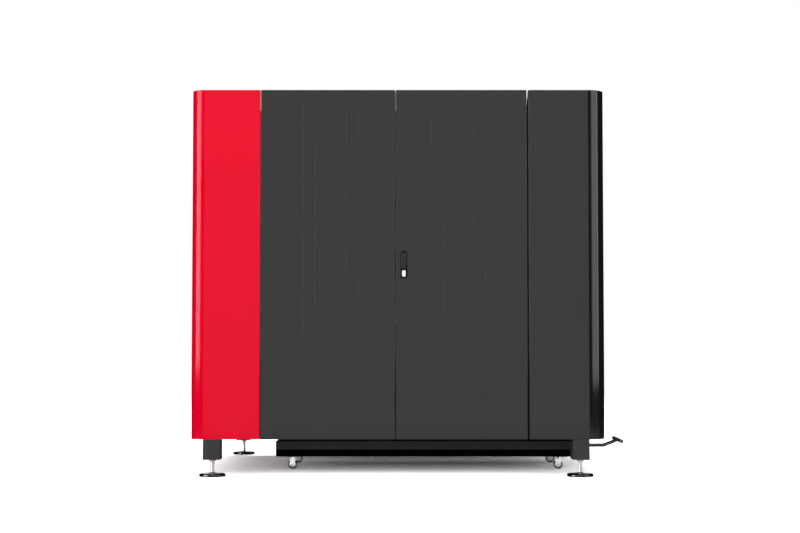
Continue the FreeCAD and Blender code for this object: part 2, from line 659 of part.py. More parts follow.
def rod_guide(z, x):
    """A bridge on the inside of the door that keeps a rod straight."""
    half = LATCH_ROD_W / 2 + SLIDING
    frame = block(x - half - 3, x + half + 3, NEAR + DOOR_SKIN, DOOR_BACK, z - 10, z + 10)
    return frame.cut(block(x - half, x + half, ROD_FRONT - SLIDING,
                           ROD_FRONT + LATCH_ROD_T + SLIDING, z - 11, z + 11))


def right_service_door():
    """The door that carries the handle: its spindle and button holes, and the rod guides."""
    door = service_door(RIGHT_DOOR[0], RIGHT_DOOR[1], RIGHT_PIVOT_X)
    door = door.cut(bar(SPINDLE_AT + Vector(0, NEAR - 1, 0),
                        SPINDLE_AT + Vector(0, NEAR + DOOR_SKIN + 1, 0),
                        SPINDLE_D + 2 * SLIDING))
    low, high = ROD_GUIDE_HEIGHTS
    return fused([door, rod_guide(high, UPPER_ROD_X), rod_guide(low, LOWER_ROD_X)])


def latch_keeper(x, z, up):
    """A bent bracket on the rail, whose lip the rod's tip runs behind."""
    lip = block(x - 11, x + 11, ROD_FRONT - 4, ROD_FRONT - 1, z, z + up * KEEPER_LIP)
    web_z = z + up * KEEPER_LIP
    web = block(x - 11, x + 11, ROD_FRONT - 4, RAIL_NEAR, web_z, web_z + up * 3)
    return lip.fuse(web)


def latch_keepers():
    """One keeper on the upper rail and one on the lower."""
    return [latch_keeper(UPPER_ROD_X, UPPER_TIP_Z + 1, 1),
            latch_keeper(LOWER_ROD_X, LOWER_TIP_Z - 1, -1)]


# ---------------------------------------------------------------- loading side

def front_panel(z0, z1):
    """A folded cover between the shells' front strips."""
    half = FRONT_HALF - FRONT_GAP
    panel = block(-half, half, FAR - SEAM_RETURN, FAR, z0, z1)
    return panel.cut(block(-half + SHEET, half - SHEET, FAR - SEAM_RETURN - 1, FAR - SHEET,
                           z0 + SHEET, z1 - SHEET))


LIFT_FACE = FAR - LIFT_DOOR_SETBACK
LIFT_BACK = LIFT_FACE - LIFT_DOOR_T
LIFT_TOP = HEADER_Z + 8
GUIDE_WALL = 4.0
GUIDE_DEPTH = 20.0
GUIDE_TOP = TOP - LIP
LIFT_TRAVEL = GUIDE_TOP - SILL_Z - GUIDE_HOLD


def front_apron():
    """The fixed cover below the loading door."""
    half = FRONT_HALF - FRONT_GAP
    panel = front_panel(UNDERSIDE, SILL_Z)
    sill = block(-half, half, LIFT_BACK - 10, FAR - SEAM_RETURN, SILL_Z - SHEET, SILL_Z)
    return fused([panel, sill])


def front_header():
    """The fixed cover above the loading door, behind which the door rises."""
    half = FRONT_HALF - FRONT_GAP
    return fused([block(-half, half, FAR - SHEET, FAR, HEADER_Z, TOP),
                  block(-half, half, FAR - 10, FAR - SHEET, HEADER_Z, HEADER_Z + SHEET)])


def door_guide(side):
    """A channel on a front post, in which one edge of the lift door slides."""
    inner = LIFT_DOOR_HALF - GUIDE_DEPTH
    outer = FRONT_HALF - SLIDING
    low_y, high_y = LIFT_BACK - SLIDING, LIFT_FACE + SLIDING
    channel = block(side * inner, side * outer, low_y - GUIDE_WALL, high_y + GUIDE_WALL,
                    SILL_Z, GUIDE_TOP)
    slot = block(side * (inner - 1), side * (LIFT_DOOR_HALF + 1), low_y, high_y,
                 SILL_Z - 1, GUIDE_TOP + 1)
    seat_y = LEG_INNER_Y + DOOR_POST
    back = block(side * (outer - DOOR_POST), side * outer, seat_y, low_y - GUIDE_WALL,
                 SILL_Z, RAIL_HIGH)
    return fused([channel.cut(slot), back])


def lift_door():
    """The loading door: a pan with a frame round its window and a rebate for the glass."""
    half = LIFT_DOOR_HALF
    pan = block(-half, half, LIFT_BACK, LIFT_FACE, SILL_Z, LIFT_TOP)
    pan = pan.cut(block(-half + SHEET, half - SHEET, LIFT_BACK - 1, LIFT_FACE - DOOR_SKIN,
                        SILL_Z + SHEET, LIFT_TOP - SHEET))
    frame = rounded_plate(WINDOW_W + 70, WINDOW_H + 70, 50, 0, LIFT_BACK, LIFT_FACE, WINDOW_Z)
    opening = rounded_plate(WINDOW_W, WINDOW_H, 30, 0, LIFT_BACK - 1, LIFT_FACE + 1, WINDOW_Z)
    rebate = rounded_plate(WINDOW_W + 30, WINDOW_H + 30, 40, 0, LIFT_FACE - GLASS_T - 2,
                           LIFT_FACE + 1, WINDOW_Z)
    return fused([pan, frame]).cut(opening).cut(rebate)


def laser_window():
    """The laser-safe pane, seated in the door's rebate."""
    seat = LIFT_FACE - GLASS_T - 2
    return rounded_plate(WINDOW_W + 28, WINDOW_H + 28, 39, 0, seat, seat + GLASS_T, WINDOW_Z)


PULL_Z = SILL_Z + 90.0
PULL_D = 24.0
PULL_HALF = 200.0
PULL_OUT = 45.0


def door_pull():
    """A round bar on two stand-offs."""
    y = LIFT_FACE + PULL_OUT - PULL_D / 2
    grip = bar(Vector(-PULL_HALF, y, PULL_Z), Vector(PULL_HALF, y, PULL_Z), PULL_D)
    feet = [bar(Vector(x, LIFT_FACE, PULL_Z), Vector(x, y, PULL_Z), PULL_D - 6)
            for x in (-PULL_HALF + 30, PULL_HALF - 30)]
    return fused([grip] + feet)


# ---------------------------------------------------------------- operator's panel

CONSOLE_X = (FRONT_HALF + FLAT_HALF) / 2
SCREEN_W = 240.0
SCREEN_H = 180.0
SCREEN_T = 18.0
SCREEN_Z = 1420.0
PANEL_W = 120.0
PANEL_H = 220.0
PANEL_T = 28.0
PANEL_Z = 1180.0
BUTTON_STEM_D = 16.0
BUTTON_CAP_D = 26.0
E_STOP_D = 40.0
BUTTON_CAP_T = 6.0
E_STOP_T = 16.0
PANEL_FACE = FAR + PANEL_T
BUTTON_STROKE = 4.0
BUTTON_SEAT = PANEL_FACE + BUTTON_STROKE + 0.5
STEM_DEPTH = 16.0
BUTTON_PLACES = {"start_button": PANEL_Z + 20, "stop_button": PANEL_Z + 65,
                 "e_stop": PANEL_Z - 50}


def touch_screen():
    """A flat monitor on the shell, with a bezel standing round its glass."""
    case = rounded_plate(SCREEN_W, SCREEN_H, 8, CONSOLE_X, FAR, FAR + SCREEN_T, SCREEN_Z)
    glass = rounded_plate(SCREEN_W - 24, SCREEN_H - 24, 4, CONSOLE_X, FAR + SCREEN_T - 1.5,
                          FAR + SCREEN_T + 1, SCREEN_Z)
    return case.cut(glass)


def control_panel():
    """The button box, bored for each button's stem."""
    case = rounded_plate(PANEL_W, PANEL_H, 10, CONSOLE_X, FAR, PANEL_FACE, PANEL_Z)
    for z in BUTTON_PLACES.values():
        centre = Vector(CONSOLE_X, 0, z)
        case = case.cut(bar(centre + Vector(0, PANEL_FACE - STEM_DEPTH - BUTTON_STROKE - 1, 0),
                            centre + Vector(0, PANEL_FACE + 1, 0), BUTTON_STEM_D + 2 * SLIDING))
    return case


def panel_button(z, cap_d, cap_t):
    """A cap on a stem, standing off the panel by its stroke."""
    centre = Vector(CONSOLE_X, 0, z)
    seat = Vector(0, BUTTON_SEAT, 0)
    stem = bar(centre + Vector(0, PANEL_FACE - STEM_DEPTH, 0), centre + seat, BUTTON_STEM_D)
    cap = bar(centre + seat, centre + seat + Vector(0, cap_t, 0), cap_d)
    rim = [e for e in cap.Edges if e.Vertexes[0].Point.y > BUTTON_SEAT + cap_t - 0.01
           and e.Length > cap_d]
    return fused([stem, cap.makeChamfer(cap_t / 3, rim[:1])])


# ---------------------------------------------------------------- cutting table and chute

SLOT_DEPTH = 40.0
SLAT_COUNT = int((2 * TABLE_HALF_X - SLAT_PITCH) // SLAT_PITCH)


def slat_places():
    """X of each slat, spread evenly about the table's middle."""
    first = -(SLAT_COUNT - 1) * SLAT_PITCH / 2
    return [first + i * SLAT_PITCH for i in range(SLAT_COUNT)]


def table_frame():
    """A welded ring of bars; the two long ones are combs that hold the slats."""
    ring = block(-TABLE_HALF_X, TABLE_HALF_X, TABLE_NEAR_Y, TABLE_FAR_Y, TABLE_Z,
                 TABLE_Z + TABLE_H)
    ring = ring.cut(block(-TABLE_HALF_X + TABLE_BAR, TABLE_HALF_X - TABLE_BAR,
                          TABLE_NEAR_Y + TABLE_BAR, TABLE_FAR_Y - TABLE_BAR,
                          TABLE_Z - 1, TABLE_Z + TABLE_H + 1))
    half = SLAT_T / 2 + SLIDING
    slots = [block(x - half, x + half, TABLE_NEAR_Y - 1, TABLE_FAR_Y + 1,
                   TABLE_Z + TABLE_H - SLOT_DEPTH, TABLE_Z + TABLE_H + 1)
             for x in slat_places()]
    return ring.cut(Part.makeCompound(slots))


def cutting_slats():
    """Thin upright strips with a row of pointed teeth that the sheet lies on."""
    low = TABLE_Z + TABLE_H - SLOT_DEPTH
    root = SLAT_TIP_Z - SLAT_TOOTH_H
    start, end = TABLE_NEAR_Y, TABLE_FAR_Y
    teeth = int((end - start) // SLAT_TOOTH_PITCH)
    margin = (end - start - teeth * SLAT_TOOTH_PITCH) / 2
    points = [Vector(0, start, low), Vector(0, start, root)]
    for i in range(teeth):
        y = start + margin + i * SLAT_TOOTH_PITCH
        points += [Vector(0, y, root), Vector(0, y + SLAT_TOOTH_PITCH / 2, SLAT_TIP_Z)]
    points += [Vector(0, end - margin, root), Vector(0, end, root), Vector(0, end, low)]
    unique = [p for i, p in enumerate(points) if i == 0 or (p - points[i - 1]).Length > 0.01]
    slats = []
    for x in slat_places():
        slat = prism(unique, Vector(SLAT_T, 0, 0))
        slat.translate(Vector(x - SLAT_T / 2, 0, 0))
        slats.append(slat)
    return slats


CHUTE_TOP = TABLE_Z - LEDGE_T - SHEET
CHUTE_IN = 50.0
CHUTE_MOUTH_Z = TRAY_TOP + 16.0
CHUTE_MARGIN = 30.0


def hopper(low, high, z0, z1):
    """A solid with a level rectangle (x0, x1, y0, y1) at each end and four sloping sides."""
    rings = [[Vector(x0, y0, z), Vector(x1, y0, z), Vector(x1, y1, z), Vector(x0, y1, z)]
             for (x0, x1, y0, y1), z in ((low, z0), (high, z1))]
    outlines = rings + [[rings[0][i - 1], rings[0][i], rings[1][i], rings[1][i - 1]]
                        for i in range(4)]
    faces = [Part.Face(Part.makePolygon(outline + [outline[0]])) for outline in outlines]
    return Part.Solid(Part.Shell(faces))


def scrap_chute():
    """The hopper that lets slag and offcuts fall from the table into the cart."""
    x0, x1 = -TABLE_HALF_X + CHUTE_IN, TABLE_HALF_X - CHUTE_IN
    top = (x0, x1, TABLE_NEAR_Y + TABLE_BAR, TABLE_FAR_Y - TABLE_BAR)
    mouth = (CART_LEFT + CHUTE_MARGIN, x1 - CHUTE_MARGIN, top[2] + CHUTE_MARGIN,
             CART_FAR - CHUTE_MARGIN)
    inside_mouth = (mouth[0] + SHEET, mouth[1] - SHEET, mouth[2] + SHEET, mouth[3] - SHEET)
    inside_top = (top[0] + SHEET, top[1] - SHEET, top[2] + SHEET, top[3] - SHEET)
    outer = hopper(mouth, top, CHUTE_MOUTH_Z, CHUTE_TOP)
    inner = hopper(inside_mouth, inside_top, CHUTE_MOUTH_Z, CHUTE_TOP)
    flange = block(-TABLE_HALF_X + LEDGE_IN / 2, TABLE_HALF_X - LEDGE_IN / 2, top[2], top[3],
                   CHUTE_TOP, CHUTE_TOP + SHEET)
    flange = flange.cut(block(*inside_top, CHUTE_TOP - 1, CHUTE_TOP + SHEET + 1))
    return fused([outer.cut(inner), flange])


# ---------------------------------------------------------------- motion system

GUIDE_W = 20.0
GUIDE_H = 18.0
GUIDE_X = BED_BEAM_X + 18.0
TRACK_X = BED_BEAM_X - 16.0
RUNNER_L = 60.0
RUNNER_W = 44.0
RUNNER_H = 28.0
RUNNER_SPREAD = 60.0
RAIL_START = GANTRY_Y - RUNNER_SPREAD - RUNNER_L
RAIL_END = BED_FAR_Y - 20.0
BEAM_LOW = BED_TOP + RUNNER_H + 14.0
BEAM_FAR = GANTRY_Y + BEAM_Y / 2
X_GUIDE_W = 15.0
X_GUIDE_T = 12.0
X_GUIDE_ZS = (BEAM_LOW + 20.0, BEAM_LOW + BEAM_H - 20.0)
BEAM_HALF = GUIDE_X + RUNNER_W / 2


def y_guide_rails():
    """Profile rails on the bed's side beams."""
    return [block(side * GUIDE_X - GUIDE_W / 2, side * GUIDE_X + GUIDE_W / 2,
                  RAIL_START, RAIL_END, BED_TOP, BED_TOP + GUIDE_H) for side in (-1, 1)]


def y_magnet_tracks():
    """The fixed halves of the linear motors, beside the rails."""
    return [block(side * TRACK_X - 14, side * TRACK_X + 14, RAIL_START, RAIL_END,
                  BED_TOP, BED_TOP + 8) for side in (-1, 1)]


def gantry_runners():
    """Four bearing blocks that straddle the rails."""
    runners = []
    for side in (-1, 1):
        for end in (-1, 1):
            x = side * GUIDE_X
            y = GANTRY_Y + end * RUNNER_SPREAD
            runner = block(x - RUNNER_W / 2 + 8, x + RUNNER_W / 2 - 8, y - RUNNER_L / 2,
                           y + RUNNER_L / 2, BED_TOP + 4, BED_TOP + RUNNER_H)
            groove = block(x - GUIDE_W / 2 - SLIDING, x + GUIDE_W / 2 + SLIDING,
                           y - RUNNER_L, y + RUNNER_L, BED_TOP, BED_TOP + GUIDE_H + SLIDING)
            runners.append(runner.cut(groove))
    return runners


def gantry_beam():
    """A box beam with end plates on the runners and the motors' forcers hanging below."""
    y0, y1 = GANTRY_Y - BEAM_Y / 2, BEAM_FAR
    beam = rect_tube(-BEAM_HALF, BEAM_HALF, y0, y1, BEAM_LOW, BEAM_LOW + BEAM_H, 6, "x")
    parts = [beam]
    for side in (-1, 1):
        plate_in = side * (TRACK_X - 16)
        parts.append(block(plate_in, side * BEAM_HALF, GANTRY_Y - RUNNER_SPREAD - RUNNER_L / 2,
                           GANTRY_Y + RUNNER_SPREAD + RUNNER_L / 2, BED_TOP + RUNNER_H, BEAM_LOW))
        parts.append(block(side * TRACK_X - 12, side * TRACK_X + 12, GANTRY_Y - 50, GANTRY_Y + 50,
                           BED_TOP + 9, BED_TOP + RUNNER_H))
        parts.append(block(side * (BEAM_HALF - 6), side * BEAM_HALF, y0 + 6, y1 - 6,
                           BEAM_LOW + 6, BEAM_LOW + BEAM_H - 6))
    return fused(parts)


def x_guide_rails():
    """Two rails along the beam's working face."""
    return [block(-BEAM_HALF + 60, BEAM_HALF - 60, BEAM_FAR, BEAM_FAR + X_GUIDE_T,
                  z - X_GUIDE_W / 2, z + X_GUIDE_W / 2) for z in X_GUIDE_ZS]


CARRIAGE_W = 180.0
CARRIAGE_Y0 = BEAM_FAR + X_GUIDE_T + 10.0
CARRIAGE_T = 14.0
Z_RAIL_T = 16.0
HEAD_Y = CARRIAGE_Y0 + CARRIAGE_T + Z_RAIL_T + 46.0
SADDLE_H = 106.0
CARRIAGE_H = SADDLE_H + HEAD_TRAVEL + 44.0
CARRIAGE_LOW = BEAM_LOW - 10.0
CARRIAGE_HIGH = CARRIAGE_LOW + CARRIAGE_H
GANTRY_TRAVEL = TABLE_FAR_Y - REACH_MARGIN - HEAD_Y


def x_carriage():
    """The carriage plate, with grooved runners on the beam's rails and the head's slide rail."""
    half = CARRIAGE_W / 2
    plate = block(CARRIAGE_X - half, CARRIAGE_X + half, CARRIAGE_Y0, CARRIAGE_Y0 + CARRIAGE_T,
                  CARRIAGE_LOW, CARRIAGE_HIGH)
    parts = [plate]
    for z in X_GUIDE_ZS:
        runner = block(CARRIAGE_X - half, CARRIAGE_X + half, BEAM_FAR + 3, CARRIAGE_Y0,
                       z - X_GUIDE_W, z + X_GUIDE_W)
        gap = X_GUIDE_W / 2 + SLIDING
        parts.append(runner.cut(block(CARRIAGE_X - half - 1, CARRIAGE_X + half + 1, BEAM_FAR,
                                      BEAM_FAR + X_GUIDE_T + SLIDING, z - gap, z + gap)))
    rail_y = CARRIAGE_Y0 + CARRIAGE_T
    parts.append(block(CARRIAGE_X - 20, CARRIAGE_X + 20, rail_y, rail_y + Z_RAIL_T,
                       CARRIAGE_LOW + 10, CARRIAGE_HIGH - 10))
    return fused(parts)


MOTOR_W = 60.0
MOTOR_H = 100.0


def z_motor():
    """The head's servo motor, standing on the carriage."""
    y = CARRIAGE_Y0 - 3
    return rounded_box(CARRIAGE_X, y, MOTOR_W, MOTOR_W, CARRIAGE_HIGH, CARRIAGE_HIGH + MOTOR_H)


def rounded_box(x, y, width, depth, z0, z1):
    """An upright box with rounded vertical edges."""
    solid = block(x - width / 2, x + width / 2, y - depth / 2, y + depth / 2, z0, z1)
    edges = [e for e in solid.Edges if abs(e.tangentAt(e.FirstParameter).z) > 0.99]
    return solid.makeFillet(6, edges)


NOZZLE_TIP_Z = SLAT_TIP_Z + 12.0
NOZZLE_H = 22.0
CONE_R = 26.0
BODY_R = 38.0
BODY_H = 124.0
NECK_H = 102.0
NECK_R = 30.0
COLLAR_R = 11.0
CONE_H = 46.0
BODY_RISE = 76.0           # from the cone's lower end to the wide part of the head
SADDLE_W = 68.0


def cutting_head():
    """The head: collimator, focusing barrel and sensor cone turned about the beam's axis."""
    low = NOZZLE_TIP_Z + NOZZLE_H
    body_low = low + BODY_RISE
    body_high = body_low + BODY_H
    top = body_high + NECK_H
    centre = Vector(CARRIAGE_X, HEAD_Y, 0)
    outline = [(0, low), (COLLAR_R, low), (CONE_R, low + CONE_H), (CONE_R, body_low - 6),
               (BODY_R, body_low), (BODY_R, body_high), (NECK_R, body_high + 6), (NECK_R, top),
               (0, top)]
    barrel = turned(outline, centre)
    slide_y = CARRIAGE_Y0 + CARRIAGE_T + Z_RAIL_T + SLIDING
    saddle = block(CARRIAGE_X - SADDLE_W / 2, CARRIAGE_X + SADDLE_W / 2, slide_y, HEAD_Y,
                   body_low + 8, body_low + 8 + SADDLE_H)
    return fused([barrel, saddle])


def nozzle():
    """The copper nozzle screwed under the cone."""
    outline = [(1.5, NOZZLE_TIP_Z), (4, NOZZLE_TIP_Z), (9, NOZZLE_TIP_Z + 10),
               (9, NOZZLE_TIP_Z + NOZZLE_H), (4, NOZZLE_TIP_Z + NOZZLE_H)]
    return turned(outline, Vector(CARRIAGE_X, HEAD_Y, 0))


# ---------------------------------------------------------------- service compartment

FLOOR_TOP = RAIL_LOW + RAIL + SHEET
SOURCE_X = -330.0
SOURCE_W = 460.0
SOURCE_D = 200.0
SOURCE_H = 620.0
PLATE_X = (90.0, 590.0)
PLATE_Z = (560.0, 1500.0)
DRIVES_Z = 1180.0
BREAKERS_Z = 960.0
STANDOFF = 20.0
DRIVE_W = 70.0
DRIVE_D = 130.0
DRIVE_H = 190.0
DRIVE_COUNT = 3
BREAKER_W = 18.0
BREAKER_H = 84.0
BREAKER_D = 52.0
BREAKER_STEP = 18.0        # how far the lever's part stands out
BREAKER_STEP_H = 44.0
BREAKER_COUNT = 10
RAIL_STRIP_H = 34.0
RAIL_STRIP_T = 8.0
ROW_MARGIN = 40.0          # from the plate's edge to the rail, and on to the first breaker


def laser_source():
    """The laser source's cabinet, with a sunk front and slotted air inlets."""
    y1 = BULKHEAD_Y - SHEET - 6
    y0 = y1 - SOURCE_D
    half = SOURCE_W / 2
    case = rounded_box(SOURCE_X, (y0 + y1) / 2, SOURCE_W, SOURCE_D, FLOOR_TOP,
                       FLOOR_TOP + SOURCE_H)
    case = case.cut(block(SOURCE_X - half + 20, SOURCE_X + half - 20, y0 - 1, y0 + 4,
                          FLOOR_TOP + 30, FLOOR_TOP + SOURCE_H - 30))
    slots = [block(SOURCE_X - half + 60, SOURCE_X + half - 60, y0, y0 + 12,
                   FLOOR_TOP + 90 + 24 * i, FLOOR_TOP + 102 + 24 * i) for i in range(8)]
    return case.cut(Part.makeCompound(slots))


def electrical_plate():
    """The mounting plate, on spacers from the bulkhead."""
    y = BULKHEAD_Y - SHEET - STANDOFF
    plate = block(PLATE_X[0], PLATE_X[1], y - 3, y, PLATE_Z[0], PLATE_Z[1])
    spacers = [bar(Vector(x, y, z), Vector(x, y + STANDOFF, z), 12)
               for x in (PLATE_X[0] + 20, PLATE_X[1] - 20)
               for z in (PLATE_Z[0] + 20, PLATE_Z[1] - 20)]
    return fused([plate] + spacers)


def servo_drives():
    """Three finned drives side by side."""
    y1 = BULKHEAD_Y - SHEET - STANDOFF - 3
    drives = []
    for i in range(DRIVE_COUNT):
        x0 = PLATE_X[0] + 60 + i * (DRIVE_W + 50)
        drive = block(x0, x0 + DRIVE_W, y1 - DRIVE_D, y1, DRIVES_Z, DRIVES_Z + DRIVE_H)
        starts = [y1 - DRIVE_D + 12 + 20 * j for j in range(5)]
        gaps = [block(x0 - 1, x0 + 10, y, y + 12, DRIVES_Z - 1, DRIVES_Z + DRIVE_H + 1)
                for y in starts]
        drives.append(drive.cut(Part.makeCompound(gaps)))
    return drives


def breaker_row():
    """A top-hat rail with a row of breakers clipped on it, stepped at their levers."""
    y1 = BULKHEAD_Y - SHEET - STANDOFF - 3
    back = y1 - RAIL_STRIP_T
    face = y1 - BREAKER_D
    step = face - BREAKER_STEP
    z = BREAKERS_Z
    high, low = z + BREAKER_H / 2, z - BREAKER_H / 2
    step_high, step_low = z + BREAKER_STEP_H / 2, z - BREAKER_STEP_H / 2
    parts = [block(PLATE_X[0] + ROW_MARGIN, PLATE_X[1] - ROW_MARGIN, back, y1,
                   z - RAIL_STRIP_H / 2, z + RAIL_STRIP_H / 2)]
    for i in range(BREAKER_COUNT):
        x0 = PLATE_X[0] + 2 * ROW_MARGIN + i * (BREAKER_W + 1)
        profile = [Vector(x0, back, low), Vector(x0, face, low), Vector(x0, face, step_low),
                   Vector(x0, step, step_low), Vector(x0, step, step_high),
                   Vector(x0, face, step_high), Vector(x0, face, high), Vector(x0, back, high)]
        parts.append(prism(profile, Vector(BREAKER_W, 0, 0)))
    return parts


# ---------------------------------------------------------------- scrap cart

CHASSIS_TOP = CART_UNDER + CHASSIS_H
CHASSIS_BAR = 40.0
CASTOR_PLATE_T = 3.0
FORK_T = 2.5
FORK_HALF = WHEEL_W / 2 + 1.5
AXLE_D = 8.0
AXLE_Z = WHEEL_D / 2
FORK_TOP = CART_UNDER - CASTOR_PLATE_T
FORK_HALF_X = 17.0
HITCH_T = 6.0
HITCH_R = 14.0
HITCH_X = CART_RIGHT + 20.0
HITCH_END = HITCH_X + 30.0
EYE_D = TOW_TUBE_D + 2.0
HITCH_HALF = TOW_TUBE_D / 2 + 1.0
TOW_PIN_D = 10.0


def castor_centres():
    """Name, axle place and kind of each castor; the towing end's pair swivels."""
    left, right = CART_LEFT + CASTOR_END_IN, CART_RIGHT - CASTOR_END_IN
    near, far = CART_NEAR + CASTOR_NEAR_IN, CART_FAR - CASTOR_FAR_IN
    corners = [("near_left", left, near, False), ("far_left", left, far, False),
               ("near_right", right, near, True), ("far_right", right, far, True)]
    return [(name, Vector(x, y, AXLE_Z), swivels) for name, x, y, swivels in corners]


def swivel_axis(axle):
    """The upright axis a swivelling castor turns about, ahead of its axle."""
    return Vector(axle.x + SWIVEL_TRAIL, axle.y, 0)


def cart_chassis():
    """A ring of flat tubes with a cross tube, and the castors' plates welded under it."""
    z0, z1 = CART_UNDER, CHASSIS_TOP
    b = CHASSIS_BAR
    middle = (CART_LEFT + CART_RIGHT) / 2
    parts = [rect_tube(CART_LEFT, CART_RIGHT, y, y + b, z0, z1, 2, "x")
             for y in (CART_NEAR, CART_FAR - b)]
    parts += [rect_tube(x, x + b, CART_NEAR + b, CART_FAR - b, z0, z1, 2, "y")
              for x in (CART_LEFT, middle - b / 2, CART_RIGHT - b)]
    for _, axle, swivels in castor_centres():
        x = swivel_axis(axle).x if swivels else axle.x
        parts.append(block(x - 35, x + 35, axle.y - 26, axle.y + 26, FORK_TOP, CART_UNDER))
    hitch_y = (CART_NEAR + CART_FAR) / 2
    for side in (-1, 1):
        y = hitch_y + side * (HITCH_HALF + HITCH_T / 2)
        lug = block(CART_RIGHT, HITCH_END, y - HITCH_T / 2,
                    y + HITCH_T / 2, CART_UNDER, TOW_Z + HITCH_R)
        hole = bar(Vector(HITCH_X, y - HITCH_T, TOW_Z), Vector(HITCH_X, y + HITCH_T, TOW_Z),
                   TOW_PIN_D + 2 * RUNNING)
        parts.append(lug.cut(hole))
    stop_top = TOW_Z - TOW_TUBE_D / 2 - SLIDING
    parts.append(block(HITCH_X + EYE_D / 2 + 1, HITCH_END, hitch_y - HITCH_HALF,
                       hitch_y + HITCH_HALF, stop_top - HITCH_T, stop_top))
    return parts


def cart_tray():
    """An open tray folded from one sheet, with its rim turned inward."""
    z0 = CHASSIS_TOP
    tray = block(CART_LEFT, CART_RIGHT, CART_NEAR, CART_FAR, z0, TRAY_TOP)
    inside = block(CART_LEFT + TRAY_WALL, CART_RIGHT - TRAY_WALL, CART_NEAR + TRAY_WALL,
                   CART_FAR - TRAY_WALL, z0 + TRAY_WALL, TRAY_TOP - TRAY_WALL)
    rim = block(CART_LEFT + 14, CART_RIGHT - 14, CART_NEAR + 14, CART_FAR - 14,
                TRAY_TOP - 2 * TRAY_WALL, TRAY_TOP + 1)
    return tray.cut(inside).cut(rim)


def castor_fork(axle, swivels):
    """A pressed fork with its axle: riveted under the plate, or turning in a short race."""
    x = swivel_axis(axle).x if swivels else axle.x
    gap = SLIDING if swivels else 0.0
    top = FORK_TOP - gap
    crown_low = AXLE_Z + WHEEL_D / 2 + 3
    crown = block(min(x, axle.x) - FORK_HALF_X, max(x, axle.x) + FORK_HALF_X,
                  axle.y - FORK_HALF - FORK_T, axle.y + FORK_HALF + FORK_T,
                  crown_low, crown_low + FORK_T)
    race = bar(Vector(x, axle.y, crown_low), Vector(x, axle.y, top), 34)
    parts = [crown, race]
    for side in (-1, 1):
        y = axle.y + side * (FORK_HALF + FORK_T / 2)
        r = 10.0
        points = [Vector(axle.x - r, y, AXLE_Z), Vector(axle.x + r, y, AXLE_Z),
                  Vector(max(x, axle.x) + FORK_HALF_X, y, crown_low + FORK_T),
                  Vector(min(x, axle.x) - FORK_HALF_X, y, crown_low + FORK_T)]
        low = Vector(0, -FORK_T / 2, 0)
        parts.append(prism([p + low for p in points], Vector(0, FORK_T, 0)))
        end = Vector(axle.x, y, AXLE_Z)
        parts.append(bar(end + low, end - low, 2 * r))
    reach = Vector(0, FORK_HALF + FORK_T + 2, 0)
    parts.append(bar(axle - reach, axle + reach, AXLE_D))
    return fused(parts)


def castor_wheel(axle):
    """A wheel with a tyre that stands out from a slimmer hub."""
    r = WHEEL_D / 2
    half = WHEEL_W / 2
    outline = [(AXLE_D / 2 + RUNNING, half), (10, half), (r - 7, half - 4), (r - 6, half),
               (r - 1.5, half), (r, half - 2)]
    mirrored = [(radius, -offset) for radius, offset in reversed(outline)]
    wheel = turned(outline + mirrored, Vector(0, 0, 0))
    wheel.rotate(Vector(0, 0, 0), Vector(1, 0, 0), 90)
    wheel.translate(axle)
    return wheel


def tow_bar():
    """A bent tube with an eye at the hitch and a cross grip, welded together."""
    y = (CART_NEAR + CART_FAR) / 2
    r = TOW_TUBE_D / 2
    start = Vector(HITCH_X, y, TOW_Z)
    bend = Vector(CART_RIGHT + TOW_STRAIGHT, y, TOW_Z)
    grip = Vector(GRIP_X, y, GRIP_Z)
    eye = bar(start - Vector(0, r, 0), start + Vector(0, r, 0), EYE_D)
    rise = math.degrees(math.atan2(GRIP_RISE, TOW_REACH - TOW_STRAIGHT))
    elbow_r = 3 * TOW_TUBE_D
    run_in = elbow_r * math.tan(math.radians(rise / 2))
    elbow_start = bend - Vector(run_in, 0, 0)
    elbow_end = bend + (grip - bend).normalize() * run_in
    centre = elbow_start + Vector(0, 0, elbow_r)
    section = Part.Face(Part.Wire(Part.makeCircle(r, elbow_start, Vector(1, 0, 0))))
    elbow = section.revolve(centre, Vector(0, -1, 0), rise)
    tube = [bar(start, elbow_start, TOW_TUBE_D), elbow, bar(elbow_end, grip, TOW_TUBE_D)]
    half = Vector(0, GRIP_L / 2, 0)
    cross = bar(grip - half, grip + half, GRIP_D)
    reach = Vector(0, HITCH_HALF + HITCH_T + 3, 0)
    pin = bar(start - reach, start + reach, TOW_PIN_D)
    return fused([eye] + tube + [cross, pin])


# ---------------------------------------------------------------- export

ORIGIN_X = (LEFT + GRIP_X + GRIP_D / 2) / 2
PROUD_NEAR = HANDLE_PLATE_T + 0.5 + LEVER_T
ORIGIN_Y = (NEAR - PROUD_NEAR + BUTTON_SEAT + E_STOP_T) / 2
TO_ORIGIN = Vector(-ORIGIN_X, -ORIGIN_Y, 0)


